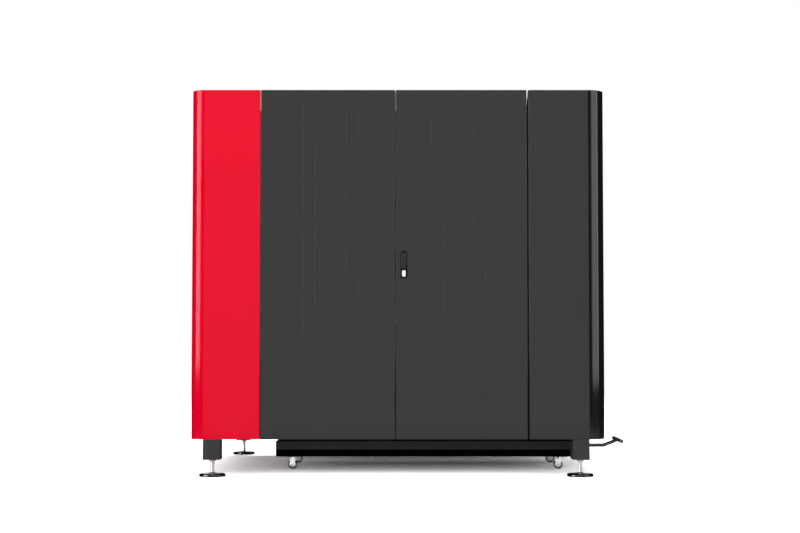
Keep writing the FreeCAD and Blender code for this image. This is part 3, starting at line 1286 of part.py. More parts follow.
def pieces():
    """Every node's name with its solid, or its list of like solids."""
    nodes = {
        "base_frame": base_frame(),
        "foot_discs": at_each_leg(foot_disc),
        "foot_studs": at_each_leg(foot_stud),
        "foot_lock_nuts": at_each_leg(lock_nut),
        "red_end_shell": end_shell(-1, LEFT_SEAM_X - LEFT_SEAM_GAP / 2),
        "black_end_shell": end_shell(1, RIGHT_SEAM_X + RIGHT_SEAM_GAP / 2),
        "roof_panel": roof_panel(),
        "exhaust_collar": exhaust_collar(),
        "bulkhead": bulkhead(),
        "compartment_floor": compartment_floor(),
        "left_service_door": service_door(*LEFT_DOOR, LEFT_PIVOT_X),
        "right_service_door": right_service_door(),
        "left_hinge_pins": hinge_pins(LEFT_PIVOT_X),
        "right_hinge_pins": hinge_pins(RIGHT_PIVOT_X),
        "hinge_arms": hinge_arms(),
        "handle_plate": handle_plate(),
        "latch_button": latch_button(),
        "latch_lever": latch_lever(),
        "latch_spindle": latch_spindle(),
        "upper_latch_rod": latch_rod(UPPER_PIN, UPPER_TIP_Z),
        "lower_latch_rod": latch_rod(LOWER_PIN, LOWER_TIP_Z),
        "latch_keepers": latch_keepers(),
        "front_apron": front_apron(),
        "front_header": front_header(),
        "door_guides": [door_guide(-1), door_guide(1)],
        "loading_door": lift_door(),
        "laser_window": laser_window(),
        "door_pull": door_pull(),
        "touch_screen": touch_screen(),
        "control_panel": control_panel(),
        "start_button": panel_button(BUTTON_PLACES["start_button"], BUTTON_CAP_D, BUTTON_CAP_T),
        "stop_button": panel_button(BUTTON_PLACES["stop_button"], BUTTON_CAP_D, BUTTON_CAP_T),
        "e_stop": panel_button(BUTTON_PLACES["e_stop"], E_STOP_D, E_STOP_T),
        "table_frame": table_frame(),
        "cutting_slats": cutting_slats(),
        "scrap_chute": scrap_chute(),
        "y_guide_rails": y_guide_rails(),
        "y_magnet_tracks": y_magnet_tracks(),
        "gantry_beam": gantry_beam(),
        "gantry_runners": gantry_runners(),
        "x_guide_rails": x_guide_rails(),
        "x_carriage": x_carriage(),
        "z_motor": z_motor(),
        "cutting_head": cutting_head(),
        "nozzle": nozzle(),
        "laser_source": laser_source(),
        "electrical_plate": electrical_plate(),
        "servo_drives": servo_drives(),
        "breaker_row": breaker_row(),
        "cart_chassis": cart_chassis(),
        "cart_tray": cart_tray(),
        "tow_bar": tow_bar(),
    }
    for name, axle, swivels in castor_centres():
        nodes[name + "_castor_fork"] = castor_fork(axle, swivels)
        nodes[name + "_castor_wheel"] = castor_wheel(axle)
    return nodes


os.makedirs("parts", exist_ok=True)
for name, shape in pieces().items():
    node = Part.makeCompound(shape) if isinstance(shape, list) else shape
    node = node.translated(TO_ORIGIN)
    node.exportStep("parts/" + name + ".step")
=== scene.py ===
import math

import bmesh
import bpy
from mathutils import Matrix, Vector


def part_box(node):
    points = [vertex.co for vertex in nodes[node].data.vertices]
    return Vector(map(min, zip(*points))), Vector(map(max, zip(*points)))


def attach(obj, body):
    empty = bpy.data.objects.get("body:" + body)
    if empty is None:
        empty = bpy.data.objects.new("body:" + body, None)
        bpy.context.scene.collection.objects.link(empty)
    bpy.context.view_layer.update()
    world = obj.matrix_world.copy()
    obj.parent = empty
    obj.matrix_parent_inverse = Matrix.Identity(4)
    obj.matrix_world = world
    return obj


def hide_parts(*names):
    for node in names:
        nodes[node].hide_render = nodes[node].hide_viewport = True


# The looks of a compact enclosed fibre laser cutter, in metres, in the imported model's own frame.
# The service side with the two tall doors faces -Y, the loading side faces +Y.

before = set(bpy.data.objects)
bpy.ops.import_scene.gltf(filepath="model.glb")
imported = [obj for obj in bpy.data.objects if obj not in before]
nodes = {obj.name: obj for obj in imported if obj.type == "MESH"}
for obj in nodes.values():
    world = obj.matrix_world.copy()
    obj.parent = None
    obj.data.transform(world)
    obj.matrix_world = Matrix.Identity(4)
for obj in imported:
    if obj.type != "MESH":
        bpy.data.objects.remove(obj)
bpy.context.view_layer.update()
scene = bpy.context.scene


# ---------------------------- camera
# The photograph was taken from a low tripod, eight metres in front of the service doors, with a
# moderate telephoto lens tipped up a little, which is why the upper edges look almost level.

CAMERA_TIP = 2.787            # degrees above level
camera_data = bpy.data.cameras.new("photo_camera")
camera_data.lens = 71.64
camera_data.sensor_width = 36.0
camera_data.clip_end = 200.0
camera = bpy.data.objects.new("photo_camera", camera_data)
camera.location = (-0.0755, -8.850, 0.663)
camera.rotation_euler = (math.radians(90.0 + CAMERA_TIP), 0.0, 0.0)
scene.collection.objects.link(camera)
scene.camera = camera


# ---------------------------- studio: surround and floor
# A white sweep of painted board, floor and surround in one. It shows as plain white, and the floor
# keeps the soft shadow of the machine. Most of the surround's own light comes from the near side.

FLOOR_SIZE = 60.0
FLOOR_NEAR_EDGE = -9.0        # just behind the camera
FLOOR_WHITE = "#E9E9E9"
SURROUND_NEAR_LIGHT = 0.46
SURROUND_FAR_LIGHT = 0.06
FLOOR_GAIN_SEEN = 5.4
FLOOR_GAIN_MIRRORED = 1.6
ROLLER_STIPPLE_MM = 2.5


def linear(hex_colour):
    """A colour written as sRGB hex, in the linear values that Blender's sockets take."""
    parts = [int(hex_colour[i:i + 2], 16) / 255 for i in (1, 3, 5)]
    return [p / 12.92 if p <= 0.04045 else ((p + 0.055) / 1.055) ** 2.4 for p in parts] + [1.0]


def add(tree, kind, sockets=None, feeds=None, **settings):
    """Adds one node: each socket by a value or by what it is linked to, the socket that its first
    output feeds, and its settings by name."""
    node = tree.nodes.new(kind)
    for name, value in settings.items():
        setattr(node, name, value)
    for key, value in (sockets or {}).items():
        if isinstance(value, bpy.types.NodeSocket):
            tree.links.new(value, node.inputs[key])
        else:
            node.inputs[key].default_value = value
    if feeds:
        tree.links.new(node.outputs[0], feeds)
    return node


def new_material(name):
    """An empty node material: its tree, the piece's own coordinates and the socket to feed."""
    material = bpy.data.materials.new(name)
    material.use_nodes = True
    tree = material.node_tree
    tree.nodes.clear()
    place = add(tree, "ShaderNodeTexCoord").outputs["Object"]
    return material, tree, place, add(tree, "ShaderNodeOutputMaterial").inputs["Surface"]


world = bpy.data.worlds.new("white_surround")
world.use_nodes = True
tree = world.node_tree
tree.nodes.clear()
rays = add(tree, "ShaderNodeLightPath")
seen = add(tree, "ShaderNodeMath", {
    0: rays.outputs["Is Camera Ray"], 1: rays.outputs["Is Glossy Ray"]}, operation="MAXIMUM")
seen = add(tree, "ShaderNodeMath", {
    0: seen.outputs[0], 1: rays.outputs["Is Transmission Ray"]}, operation="MAXIMUM")
around = add(tree, "ShaderNodeTexCoord").outputs["Generated"]
heading = add(tree, "ShaderNodeSeparateXYZ", {0: around})
falling = add(tree, "ShaderNodeMapRange", {
    "Value": heading.outputs["Y"], "From Min": -0.5, "From Max": 0.5, "To Min": SURROUND_NEAR_LIGHT,
    "To Max": SURROUND_FAR_LIGHT})
level = add(tree, "ShaderNodeMapRange", {
    "Value": seen.outputs[0], "To Min": falling.outputs["Result"], "To Max": 1.0})
surround = add(tree, "ShaderNodeBackground", {
    "Color": (1.0, 1.0, 1.0, 1.0), "Strength": level.outputs["Result"]})
add(tree, "ShaderNodeOutputWorld", {"Surface": surround.outputs[0]})
scene.world = world

# Matt emulsion on board. It has no gloss, and only a faint roller texture. To the camera it answers
# more strongly than it lights its neighbours, so it reads white up to the edge of the shadow.
material, tree, place, surface = new_material("matt_white_floor_paint")
stipple = add(tree, "ShaderNodeTexNoise", {"Vector": place, "Scale": 1000 / ROLLER_STIPPLE_MM})
relief = add(tree, "ShaderNodeBump", {
    "Height": stipple.outputs["Fac"], "Strength": 0.1, "Distance": 0.0002})
rays = add(tree, "ShaderNodeLightPath")
mirrored = add(tree, "ShaderNodeMath", {
    0: rays.outputs["Is Glossy Ray"], 1: rays.outputs["Is Transmission Ray"]}, operation="MAXIMUM")
base_gain = add(tree, "ShaderNodeMapRange", {
    "Value": mirrored.outputs[0], "To Min": 1.0, "To Max": FLOOR_GAIN_MIRRORED})
gain = add(tree, "ShaderNodeMapRange", {
    "Value": rays.outputs["Is Camera Ray"], "To Min": base_gain.outputs["Result"],
    "To Max": FLOOR_GAIN_SEEN})
white = add(tree, "ShaderNodeVectorMath", {
    0: linear(FLOOR_WHITE)[:3], "Scale": gain.outputs["Result"]}, operation="SCALE")
add(tree, "ShaderNodeBsdfDiffuse", {
    "Color": white.outputs["Vector"], "Normal": relief.outputs["Normal"]}, surface)

floor_mesh = bmesh.new()
bmesh.ops.create_grid(floor_mesh, x_segments=8, y_segments=8, size=FLOOR_SIZE / 2)
floor_data = bpy.data.meshes.new("studio_floor")
floor_mesh.to_mesh(floor_data)
floor_mesh.free()
floor = bpy.data.objects.new("studio_floor", floor_data)
floor_data.materials.append(material)
floor.location.y = FLOOR_NEAR_EDGE + FLOOR_SIZE / 2
scene.collection.objects.link(floor)


# ---------------------------- studio: lamps and flags
# Walls of soft light in front and at the sides, from the floor up, light the service side and throw
# its shadow back under the machine, and lamps behind and above fill the rest. Strips that show in
# gloss alone draw the highlights on the rolled corners, between black flags, and on the tow bar.


def light_group(name, members, state):
    """A group of pieces that a lamp alone lights (INCLUDE) or leaves out (EXCLUDE)."""
    group = bpy.data.collections.new(name)
    for member in members:
        group.objects.link(member)
    for entry in group.collection_objects:
        entry.light_linking.link_state = state
    return group


but_floor = light_group("all_but_the_floor", [floor], "EXCLUDE")
but_frame = light_group("all_but_the_welded_frame", [nodes["base_frame"]], "EXCLUDE")
castors = light_group("castors", [nodes[name] for name in nodes if "castor" in name], "INCLUDE")
SOFT, GLOSS, BOTH = (True, False), (False, True), (True, True)    # seen diffuse, seen in gloss
LAMPS = (
    # name, place, aimed at, width, height, watts, how it is seen, what it lights
    ("front_wall", (0.0, -8.6, 3.5), (0.0, 0.0, 3.5), 20.0, 6.8, 600.0, SOFT, None),
    ("left_wall", (-9.5, -4.5, 2.1), (0.0, -4.5, 2.1), 7.0, 4.0, 145.0, SOFT, but_frame),
    ("right_wall", (9.5, -4.5, 2.1), (0.0, -4.5, 2.1), 7.0, 4.0, 145.0, SOFT, but_frame),
    ("tow_bar_strip", (2.15, -8.0, 5.7), (1.0, -0.1, 0.12), 0.8, 0.8, 70.0, GLOSS, None),
    ("rear_fill", (0.0, 6.5, 6.0), (0.0, 0.9, 0.8), 5.0, 2.0, 270.0, SOFT, None),
    ("top_fill", (0.0, 0.0, 7.5), (0.0, 0.0, 0.0), 4.0, 4.0, 200.0, SOFT, but_floor),
    ("left_strip", (-3.88, -3.09, 1.95), (-1.06, -0.85, 1.7), 1.86, 2.91, 168.0, GLOSS, None),
    ("left_strip_edge", (-4.52, -1.84, 1.95), (-1.06, -0.85, 1.7), 1.01, 2.91, 118.0, GLOSS, None),
    ("right_strip", (3.5, -3.63, 1.89), (0.9, -0.85, 1.7), 2.45, 3.03, 29.0, GLOSS, None),
    ("right_strip_edge", (4.7, -2.13, 1.89), (0.9, -0.85, 1.7), 0.75, 3.03, 17.0, GLOSS, None),
    # a low card that lifts the castors out of the shadow
    ("castor_card", (0.1, -1.35, 0.07), (0.1, -0.35, 0.05), 2.0, 0.13, 2.2, BOTH, castors),
)
for name, place_at, aim, width, height, watts, (in_diffuse, in_gloss), lit in LAMPS:
    lamp_data = bpy.data.lights.new(name, "AREA")
    lamp_data.shape = "RECTANGLE"
    lamp_data.size = width
    lamp_data.size_y = height
    lamp_data.energy = watts
    lamp = bpy.data.objects.new(name, lamp_data)
    lamp.location = place_at
    lamp.rotation_euler = (Vector(aim) - Vector(place_at)).to_track_quat("-Z", "Y").to_euler()
    lamp.visible_camera = False
    lamp.visible_diffuse = in_diffuse
    lamp.visible_glossy = in_gloss
    lamp.visible_transmission = False
    lamp.light_linking.receiver_collection = lit
    scene.collection.objects.link(lamp)

PILE_MM = 3.0
FLAGS = (
    # name, four corners
    ("left_front_flag", ((-1.75, -4.9, 0), (-3.55, -4.1, 0), (-3.55, -4.1, 4), (-1.75, -4.9, 4))),
    ("right_front_flag", ((1.58, -4.9, 0), (3.2, -4.6, 0), (3.2, -4.6, 4), (1.58, -4.9, 4))),
    ("left_side_flag", ((-3.4, -1.4, 0), (-3.4, 6.0, 0), (-3.4, 6.0, 4), (-3.4, -1.4, 4))),
    ("right_side_flag", ((3.3, -1.4, 0), (3.3, 6.0, 0), (3.3, 6.0, 4), (3.3, -1.4, 4))),
    ("left_low_flag", ((-2.7, -4.6, 0), (-5.3, -1.4, 0), (-5.3, -1.4, 0.47), (-2.7, -4.6, 0.47))),
    ("right_low_flag", ((2.6, -4.6, 0), (5.2, -1.4, 0), (5.2, -1.4, 0.34), (2.6, -4.6, 0.34))),
)
# Black velour over a frame: a deep pile that swallows nearly all light.
material, tree, place, surface = new_material("black_velour")
pile = add(tree, "ShaderNodeTexNoise", {"Vector": place, "Scale": 1000 / PILE_MM})
nap = add(tree, "ShaderNodeMapRange", {"Value": pile.outputs["Fac"], "To Min": 0.85, "To Max": 1.0})
add(tree, "ShaderNodeBsdfPrincipled", {
    "Base Color": linear("#050505"), "Roughness": nap.outputs["Result"],
    "Specular IOR Level": 0.0}, surface)
for name, corners in FLAGS:
    flag_mesh = bmesh.new()
    flag_mesh.faces.new([flag_mesh.verts.new(corner) for corner in corners])
    flag_data = bpy.data.meshes.new(name)
    flag_mesh.to_mesh(flag_data)
    flag_mesh.free()
    flag_data.materials.append(material)
    flag = bpy.data.objects.new(name, flag_data)
    for ray in ("camera", "diffuse", "transmission", "shadow"):
        setattr(flag, "visible_" + ray, False)
    scene.collection.objects.link(flag)


# ---------------------------- welded base frame
# Square and rectangular steel tube, welded, ground at the corners and sprayed with a satin black
# structure powder. Its four legs show below the housing; the rest stands inside it.

GUN_CLOUD_MM = 350.0          # thicker and thinner powder, from the strokes of the gun
DUST_PATCH_MM = 260.0


def powder_coat(name, colour, roughness, peel_mm, peel_height_mm, gloss=0.5, dust=0.0,
                fold_mm=1.5):
    """Polyester powder, sprayed and baked on steel: an even skin with a faint orange peel, slightly
    uneven in gloss from place to place, that runs round the folded edges. Dust, where there is
    some, lies on what faces up."""
    material, tree, place, surface = new_material(name)
    peel = add(tree, "ShaderNodeTexNoise", {
        "Vector": place, "Scale": 1000 / peel_mm, "Detail": 1.0, "Roughness": 0.4})
    fold = add(tree, "ShaderNodeBevel", {"Radius": fold_mm / 1000}, samples=4)
    relief = add(tree, "ShaderNodeBump", {
        "Height": peel.outputs["Fac"], "Strength": 1.0, "Distance": peel_height_mm / 1000,
        "Normal": fold.outputs["Normal"]})
    clouds = add(tree, "ShaderNodeTexNoise", {
        "Vector": place, "Scale": 1000 / GUN_CLOUD_MM, "Detail": 2.0})
    sheen = add(tree, "ShaderNodeMapRange", {
        "Value": clouds.outputs["Fac"], "From Min": 0.3, "From Max": 0.7,
        "To Min": roughness - 0.03, "To Max": roughness + 0.03})
    base = linear(colour)
    tint = add(tree, "ShaderNodeMix", {
        "Factor": clouds.outputs["Fac"], "A": [c * 0.97 for c in base[:3]] + [1.0],
        "B": [min(1.0, c * 1.03) for c in base[:3]] + [1.0]}, data_type="RGBA")
    colour_out = tint.outputs["Result"]
    if dust:
        facing = add(tree, "ShaderNodeNewGeometry").outputs["Normal"]
        upward = add(tree, "ShaderNodeSeparateXYZ", {0: facing}).outputs["Z"]
        grit = add(tree, "ShaderNodeTexNoise", {
            "Vector": place, "Scale": 1000 / DUST_PATCH_MM, "Detail": 3.0}).outputs["Fac"]
        layer = add(tree, "ShaderNodeMapRange", {"Value": grit, "To Min": 0.38, "To Max": 0.62})
        lying = add(tree, "ShaderNodeMath", {
            0: upward, 1: layer.outputs["Result"]}, operation="MULTIPLY")
        share = add(tree, "ShaderNodeMath", {
            0: lying.outputs[0], 1: dust}, operation="MULTIPLY", use_clamp=True)
        colour_out = add(tree, "ShaderNodeMix", {
            "Factor": share.outputs[0], "A": colour_out,
            "B": linear("#8C8A86")}, data_type="RGBA").outputs["Result"]
    add(tree, "ShaderNodeBsdfPrincipled", {
        "Base Color": colour_out, "Roughness": sheen.outputs["Result"], "Specular IOR Level": gloss,
        "Normal": relief.outputs["Normal"]}, surface)
    return material


def finish_nodes(material, *names):
    """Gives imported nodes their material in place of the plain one."""
    for name in names:
        slots = nodes[name].data.materials
        slots.clear()
        slots.append(material)


# Structure powder: a fine even grain that breaks the gloss up, so the tubes look soft and dark.
frame_powder = powder_coat("satin_black_structure_powder", "#434244", 0.62, 1.2, 0.02, gloss=0.03,
                           dust=0.5)
finish_nodes(frame_powder, "base_frame")


# ---------------------------- levelling feet
# Each foot is a turned and nickel-plated steel disc with a ball boss, a zinc-plated stud with a
# rolled metric thread, and a hexagon nut that locks it against the leg's end plate.

FOOT_RADIUS = 0.0675
SHOULDER_RADIUS = 0.0125
SHOULDER_RISE = 0.0048        # of the shoulder's centre
FOOT_OUTLINE = (              # radius and height, from the underside over the shoulder to the boss
    [(0.0, 0.0), (0.0640, 0.0)]
    + [(FOOT_RADIUS - SHOULDER_RADIUS + SHOULDER_RADIUS * math.cos(math.radians(12 * step)),
        SHOULDER_RISE + SHOULDER_RADIUS * math.sin(math.radians(12 * step))) for step in range(8)]
    + [(0.0420, 0.0176), (0.0240, 0.0179), (0.0195, 0.0184), (0.0180, 0.0197), (0.0170, 0.0200),
       (0.0118, 0.0200), (0.0110, 0.0192), (0.0110, 0.0080), (0.0, 0.0080)])
PAD_HEIGHT = 0.0034
PLATING_CLOUD_MM = 60.0
TURNING_MARK_MM = 1.5
WAVE = 100 * math.pi          # over its pitch in mm, the scale of a wave texture
CREST_PITCH_MM = 10.0         # four times the real thread's, so that it shows from the camera


def new_piece(name, mesh, material, body, smooth=None):
    """Turns finished mesh code into a piece that rides on a body. Edges sharper than the angle in
    smooth stay crisp."""
    data = bpy.data.meshes.new(name)
    bmesh.ops.recalc_face_normals(mesh, faces=mesh.faces)
    mesh.to_mesh(data)
    mesh.free()
    data.materials.append(material)
    piece = bpy.data.objects.new(name, data)
    scene.collection.objects.link(piece)
    if smooth is not None:
        data.shade_smooth()
        data.set_sharp_from_angle(angle=math.radians(smooth))
    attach(piece, body)
    return piece


def turn(mesh, outline, centre, steps=48, axis="z"):
    """Turns an outline of (radius, height) once round an upright (z) or outward (y) axis."""
    rings = []
    for radius, height in outline:
        ring = []
        for step in range(steps if radius else 1):
            angle = 2 * math.pi * step / steps
            across, up = radius * math.cos(angle), radius * math.sin(angle)
            local = {"z": (across, up, height), "y": (across, height, up)}[axis]
            ring.append(mesh.verts.new(Vector(centre) + Vector(local)))
        rings.append(ring)
    for one, two in zip(rings, rings[1:]):
        for step in range(steps):
            corners = [one[step % len(one)], one[(step + 1) % len(one)],
                       two[(step + 1) % len(two)], two[step % len(two)]]
            face = list(dict.fromkeys(corners))
            if len(face) > 2:
                mesh.faces.new(face)


def plated(name, colour, roughness, streak_mm, streak_depth_mm):
    """Electroplated steel. The plating is bright and even, over the fine scratches of the tool."""
    material, tree, place, surface = new_material(name)
    fine = add(tree, "ShaderNodeTexNoise", {
        "Vector": place, "Scale": 1000 / streak_mm, "Detail": 3.0})
    relief = add(tree, "ShaderNodeBump", {
        "Height": fine.outputs["Fac"], "Strength": 1.0, "Distance": streak_depth_mm / 1000})
    bloom = add(tree, "ShaderNodeTexNoise", {
        "Vector": place, "Scale": 1000 / PLATING_CLOUD_MM, "Detail": 3.0})
    uneven = add(tree, "ShaderNodeMapRange", {
        "Value": bloom.outputs["Fac"], "From Min": 0.3, "From Max": 0.7,
        "To Min": max(0.02, roughness - 0.06), "To Max": roughness + 0.06})
    base = linear(colour)
    tint = add(tree, "ShaderNodeMix", {
        "Factor": bloom.outputs["Fac"], "A": [c * 0.9 for c in base[:3]] + [1.0],
        "B": base}, data_type="RGBA")
    add(tree, "ShaderNodeBsdfPrincipled", {
        "Base Color": tint.outputs["Result"], "Metallic": 1.0,
        "Roughness": uneven.outputs["Result"], "Normal": relief.outputs["Normal"]}, surface)
    return material


# Dark nickel over turned steel: a hard mirror with faint turning marks. A black rubber pad is
# bonded under its rim.
foot_look, tree, place, surface = new_material("dark_nickel_on_rubber_pad")
height = add(tree, "ShaderNodeSeparateXYZ", {0: place}).outputs["Z"]
above = add(tree, "ShaderNodeMath", {0: height, 1: PAD_HEIGHT}, operation="GREATER_THAN")
marks = add(tree, "ShaderNodeTexNoise", {
    "Vector": place, "Scale": 1000 / TURNING_MARK_MM, "Detail": 3.0})
relief = add(tree, "ShaderNodeBump", {
    "Height": marks.outputs["Fac"], "Strength": 1.0, "Distance": 0.000003})
tint = add(tree, "ShaderNodeMix", {
    "Factor": above.outputs[0], "A": linear("#0A0A0A"), "B": linear("#444446")}, data_type="RGBA")
rough = add(tree, "ShaderNodeMapRange", {"Value": above.outputs[0], "To Min": 0.7, "To Max": 0.12})
add(tree, "ShaderNodeBsdfPrincipled", {
    "Base Color": tint.outputs["Result"], "Metallic": above.outputs[0],
    "Roughness": rough.outputs["Result"], "Specular IOR Level": 0.2,
    "Normal": relief.outputs["Normal"]}, surface)
# Blue-passivated zinc: paler and softer than nickel, slightly cloudy.
zinc_plate = plated("blue_passivated_zinc", "#C9CDD2", 0.32, 1.0, 0.004)
finish_nodes(zinc_plate, "foot_lock_nuts")

low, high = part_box("foot_discs")
discs = bmesh.new()
for foot_x in (low.x + FOOT_RADIUS, high.x - FOOT_RADIUS):
    for foot_y in (low.y + FOOT_RADIUS, high.y - FOOT_RADIUS):
        turn(discs, FOOT_OUTLINE, (foot_x, foot_y, 0.0), steps=64)
discs = new_piece("turned_foot_discs", discs, foot_look, "machine_frame", smooth=35)
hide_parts("foot_discs")

# The same zinc on the rolled thread, whose crests run round the stud in rings.
material, tree, place, surface = new_material("zinc_plated_rolled_thread")
crests = add(tree, "ShaderNodeTexWave", {
    "Vector": place, "Scale": WAVE / CREST_PITCH_MM}, bands_direction="Z", wave_profile="TRI")
relief = add(tree, "ShaderNodeBump", {
    "Height": crests.outputs["Fac"], "Strength": 1.0, "Distance": 0.0012})
add(tree, "ShaderNodeBsdfPrincipled", {
    "Base Color": linear("#DCDEE0"), "Metallic": 1.0, "Roughness": 0.3,
    "Normal": relief.outputs["Normal"]}, surface)
finish_nodes(material, "foot_studs")


# ---------------------------- end shells, doors and roof
# Each end of the housing is one folded sheet: a strip of the service side, a rolled corner, the
# end wall and its other corner. Sprayed in gloss powder, red on the left and charcoal elsewhere.

# Gloss red: the skin is smooth, so the corner mirrors the studio, and its peel only shows close.
red_gloss_powder = powder_coat("gloss_red_powder_coat", "#E80028", 0.1, 4.0, 0.003, gloss=0.13,
                               fold_mm=4.0)
# Gloss charcoal: nearly black itself, and lifted to grey by what it mirrors.
charcoal_powder = powder_coat("gloss_charcoal_powder_coat", "#161618", 0.1, 4.0, 0.003,
                              fold_mm=4.0)
finish_nodes(red_gloss_powder, "red_end_shell")
finish_nodes(charcoal_powder, "black_end_shell", "left_service_door", "right_service_door",
             "front_apron", "front_header", "loading_door")

# The roof has the same powder, with the dust that settles between the parapets.
roof_powder = powder_coat("dusty_charcoal_powder_coat", "#17171A", 0.3, 4.0, 0.004, dust=0.35)
finish_nodes(roof_powder, "roof_panel")


# ---------------------------- seam seals and buffers
# Extruded EPDM beads, glued into the door seams. The left one stops at each hinge arm, the right
# one is cut to a slant above the roof, and buffers on the middle one stop the doors from rattling.

RUBBED_PATCH_MM = 30.0
SEAL_BOTTOM = 0.190
SEAL_TOP = 1.936
BEAD_FRONT = -0.886           # just behind the doors' faces
LEFT_BEAD_BACK, MIDDLE_BEAD_BACK, RIGHT_BEAD_BACK = -0.870, -0.872, -0.868
BEAD_HEIGHT = 0.0015
CUT_END = 0.004               # how far a bead's end is rounded off
HINGE_HEIGHTS = (0.330, 1.050, 1.740)
HINGE_GAP = 0.009             # from a hinge arm's middle to the bead
OVER_ROOF = 1.846
RIGHT_BEAD_HEIGHT = 0.0082
BUFFER_HEIGHTS = (0.468, 1.023, 1.573)
BUFFER_FRONT, BUFFER_BACK = -0.8895, -0.874
BUFFER_REACH = 0.0024
BUFFER_PROFILE = ((-0.007, 0.3), (-0.005, 1.0), (0.005, 1.0), (0.007, 0.3))


def moulded(name, colour, roughness, grain_mm, grain_depth_mm, gloss=0.5, edge_mm=0.8):
    """Injection-moulded plastic with the grain of its mould, a little shinier where it is worn, and
    with the small radius that every moulded edge has."""
    material, tree, place, surface = new_material(name)
    grain = add(tree, "ShaderNodeTexNoise", {
        "Vector": place, "Scale": 1000 / grain_mm, "Detail": 2.0})
    edge = add(tree, "ShaderNodeBevel", {"Radius": edge_mm / 1000}, samples=4)
    relief = add(tree, "ShaderNodeBump", {
        "Height": grain.outputs["Fac"], "Strength": 1.0, "Distance": grain_depth_mm / 1000,
        "Normal": edge.outputs["Normal"]})
    rubbed = add(tree, "ShaderNodeTexNoise", {
        "Vector": place, "Scale": 1000 / RUBBED_PATCH_MM, "Detail": 3.0})
    sheen = add(tree, "ShaderNodeMapRange", {
        "Value": rubbed.outputs["Fac"], "From Min": 0.35, "From Max": 0.7,
        "To Min": roughness + 0.04, "To Max": max(0.05, roughness - 0.08)})
    base = linear(colour)
    tint = add(tree, "ShaderNodeMix", {
        "Factor": grain.outputs["Fac"], "A": [c * 0.94 for c in base[:3]] + [1.0],
        "B": base}, data_type="RGBA")
    add(tree, "ShaderNodeBsdfPrincipled", {
        "Base Color": tint.outputs["Result"], "Roughness": sheen.outputs["Result"],
        "Specular IOR Level": gloss, "Normal": relief.outputs["Normal"]}, surface)
    return material


def skin(mesh, rings, capped=True):
    """Joins rings of points into a closed skin. Without caps the last ring joins the first."""
    made = [[mesh.verts.new(point) for point in ring] for ring in rings]
    for one, two in list(zip(made, made[1:])) + ([] if capped else [(made[-1], made[0])]):
        for step in range(len(one)):
            mesh.faces.new([one[step - 1], one[step], two[step], two[step - 1]])
    if capped:
        mesh.faces.new(made[0])
        mesh.faces.new(made[-1])


def bead(mesh, base_x, nose_x, near_y, far_y, stations):
    """A half-round bead on a flat base, drawn upwards. Each station is a height, and the share of
    the full bead that stands there."""
    middle, half = (near_y + far_y) / 2, (far_y - near_y) / 2
    rings = []
    for z, share in stations:
        ring = [(base_x, near_y, z), (base_x, far_y, z)]
        for angle in (math.radians(22.5 * step) for step in range(9)):
            ring.append((base_x + (nose_x - base_x) * share * (0.3 + 0.7 * math.sin(angle)),
                         middle + half * math.cos(angle), z))
        rings.append(ring)
    skin(mesh, rings)


# Extruded EPDM: dull black, greyed by dust, with the faint grain of its die.
seal_rubber = moulded("extruded_epdm_rubber", "#0B0B0C", 0.7, 1.0, 0.02, gloss=0.2, edge_mm=0.4)
door_low, door_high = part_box("left_service_door")
beads = bmesh.new()
stops = [z + gap for z in HINGE_HEIGHTS for gap in (-HINGE_GAP, HINGE_GAP)]
for bottom, top in zip([SEAL_BOTTOM] + stops[1::2], stops[::2] + [SEAL_TOP]):
    bead(beads, door_low.x, door_low.x - BEAD_HEIGHT, BEAD_FRONT, LEFT_BEAD_BACK,
         ((bottom, 0.2), (bottom + CUT_END, 1.0), (top - CUT_END, 1.0), (top, 0.2)))
new_piece("left_seam_seal", beads, seal_rubber, "left_service_door", smooth=40)
beads = bmesh.new()
bead(beads, door_high.x, door_high.x + BEAD_HEIGHT, BEAD_FRONT, MIDDLE_BEAD_BACK,
     ((SEAL_BOTTOM, 0.2), (SEAL_BOTTOM + CUT_END, 1.0), (OVER_ROOF - 0.006, 1.0),
      (OVER_ROOF, 1.6), (1.930, 1.6), (SEAL_TOP + 0.001, 0.2)))
for z in BUFFER_HEIGHTS:
    bead(beads, door_high.x, door_high.x + BUFFER_REACH, BUFFER_FRONT, BUFFER_BACK,
         [(z + rise, share) for rise, share in BUFFER_PROFILE])
new_piece("middle_seam_seal", beads, seal_rubber, "left_service_door", smooth=40)
shell_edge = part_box("black_end_shell")[0].x
beads = bmesh.new()
bead(beads, shell_edge, shell_edge - RIGHT_BEAD_HEIGHT, BEAD_FRONT, RIGHT_BEAD_BACK,
     ((SEAL_BOTTOM, 0.2), (SEAL_BOTTOM + CUT_END, 1.0), (OVER_ROOF, 1.0), (1.893, 0.84),
      (1.901, 0.60), (SEAL_TOP, 0.36)))
new_piece("right_seam_seal", beads, seal_rubber, "machine_frame", smooth=40)


# ---------------------------- sheet screws
# M5 button-head screws of black-oxide steel fix the roof to the frame's rails, and the apron and
# header to the posts behind them. Four more, further down, close the button box.

SCREW_OUTLINE = (             # radius and height, from the socket's bottom to the head's edge
    (0.0, 0.0008), (0.0016, 0.0008), (0.0017, 0.0023), (0.0029, 0.0022), (0.0041, 0.0015),
    (0.0047, 0.0005), (0.0048, 0.0))
ROOF_ROWS_AT = (-0.812, 0.788)              # behind the doors' recess, before the lift door's slot
ROOF_ACROSS = (-1.020, 0.850, 10)           # the first screw, the last, and how many
ROOF_ALONG = (-0.780, 0.750, 7)
ROOF_SIDE_INSET = 0.040       # clear of the shells' folded upper edges
SHEET_SIDE_INSET = 0.018
APRON_SCREW_HEIGHTS = (0.212, 0.534, 0.856)
HEADER_SCREW_HEIGHTS = (1.726, 1.916)
oxide_screw = plated("black_oxide_screw", "#2A2A2B", 0.35, 0.8, 0.003)


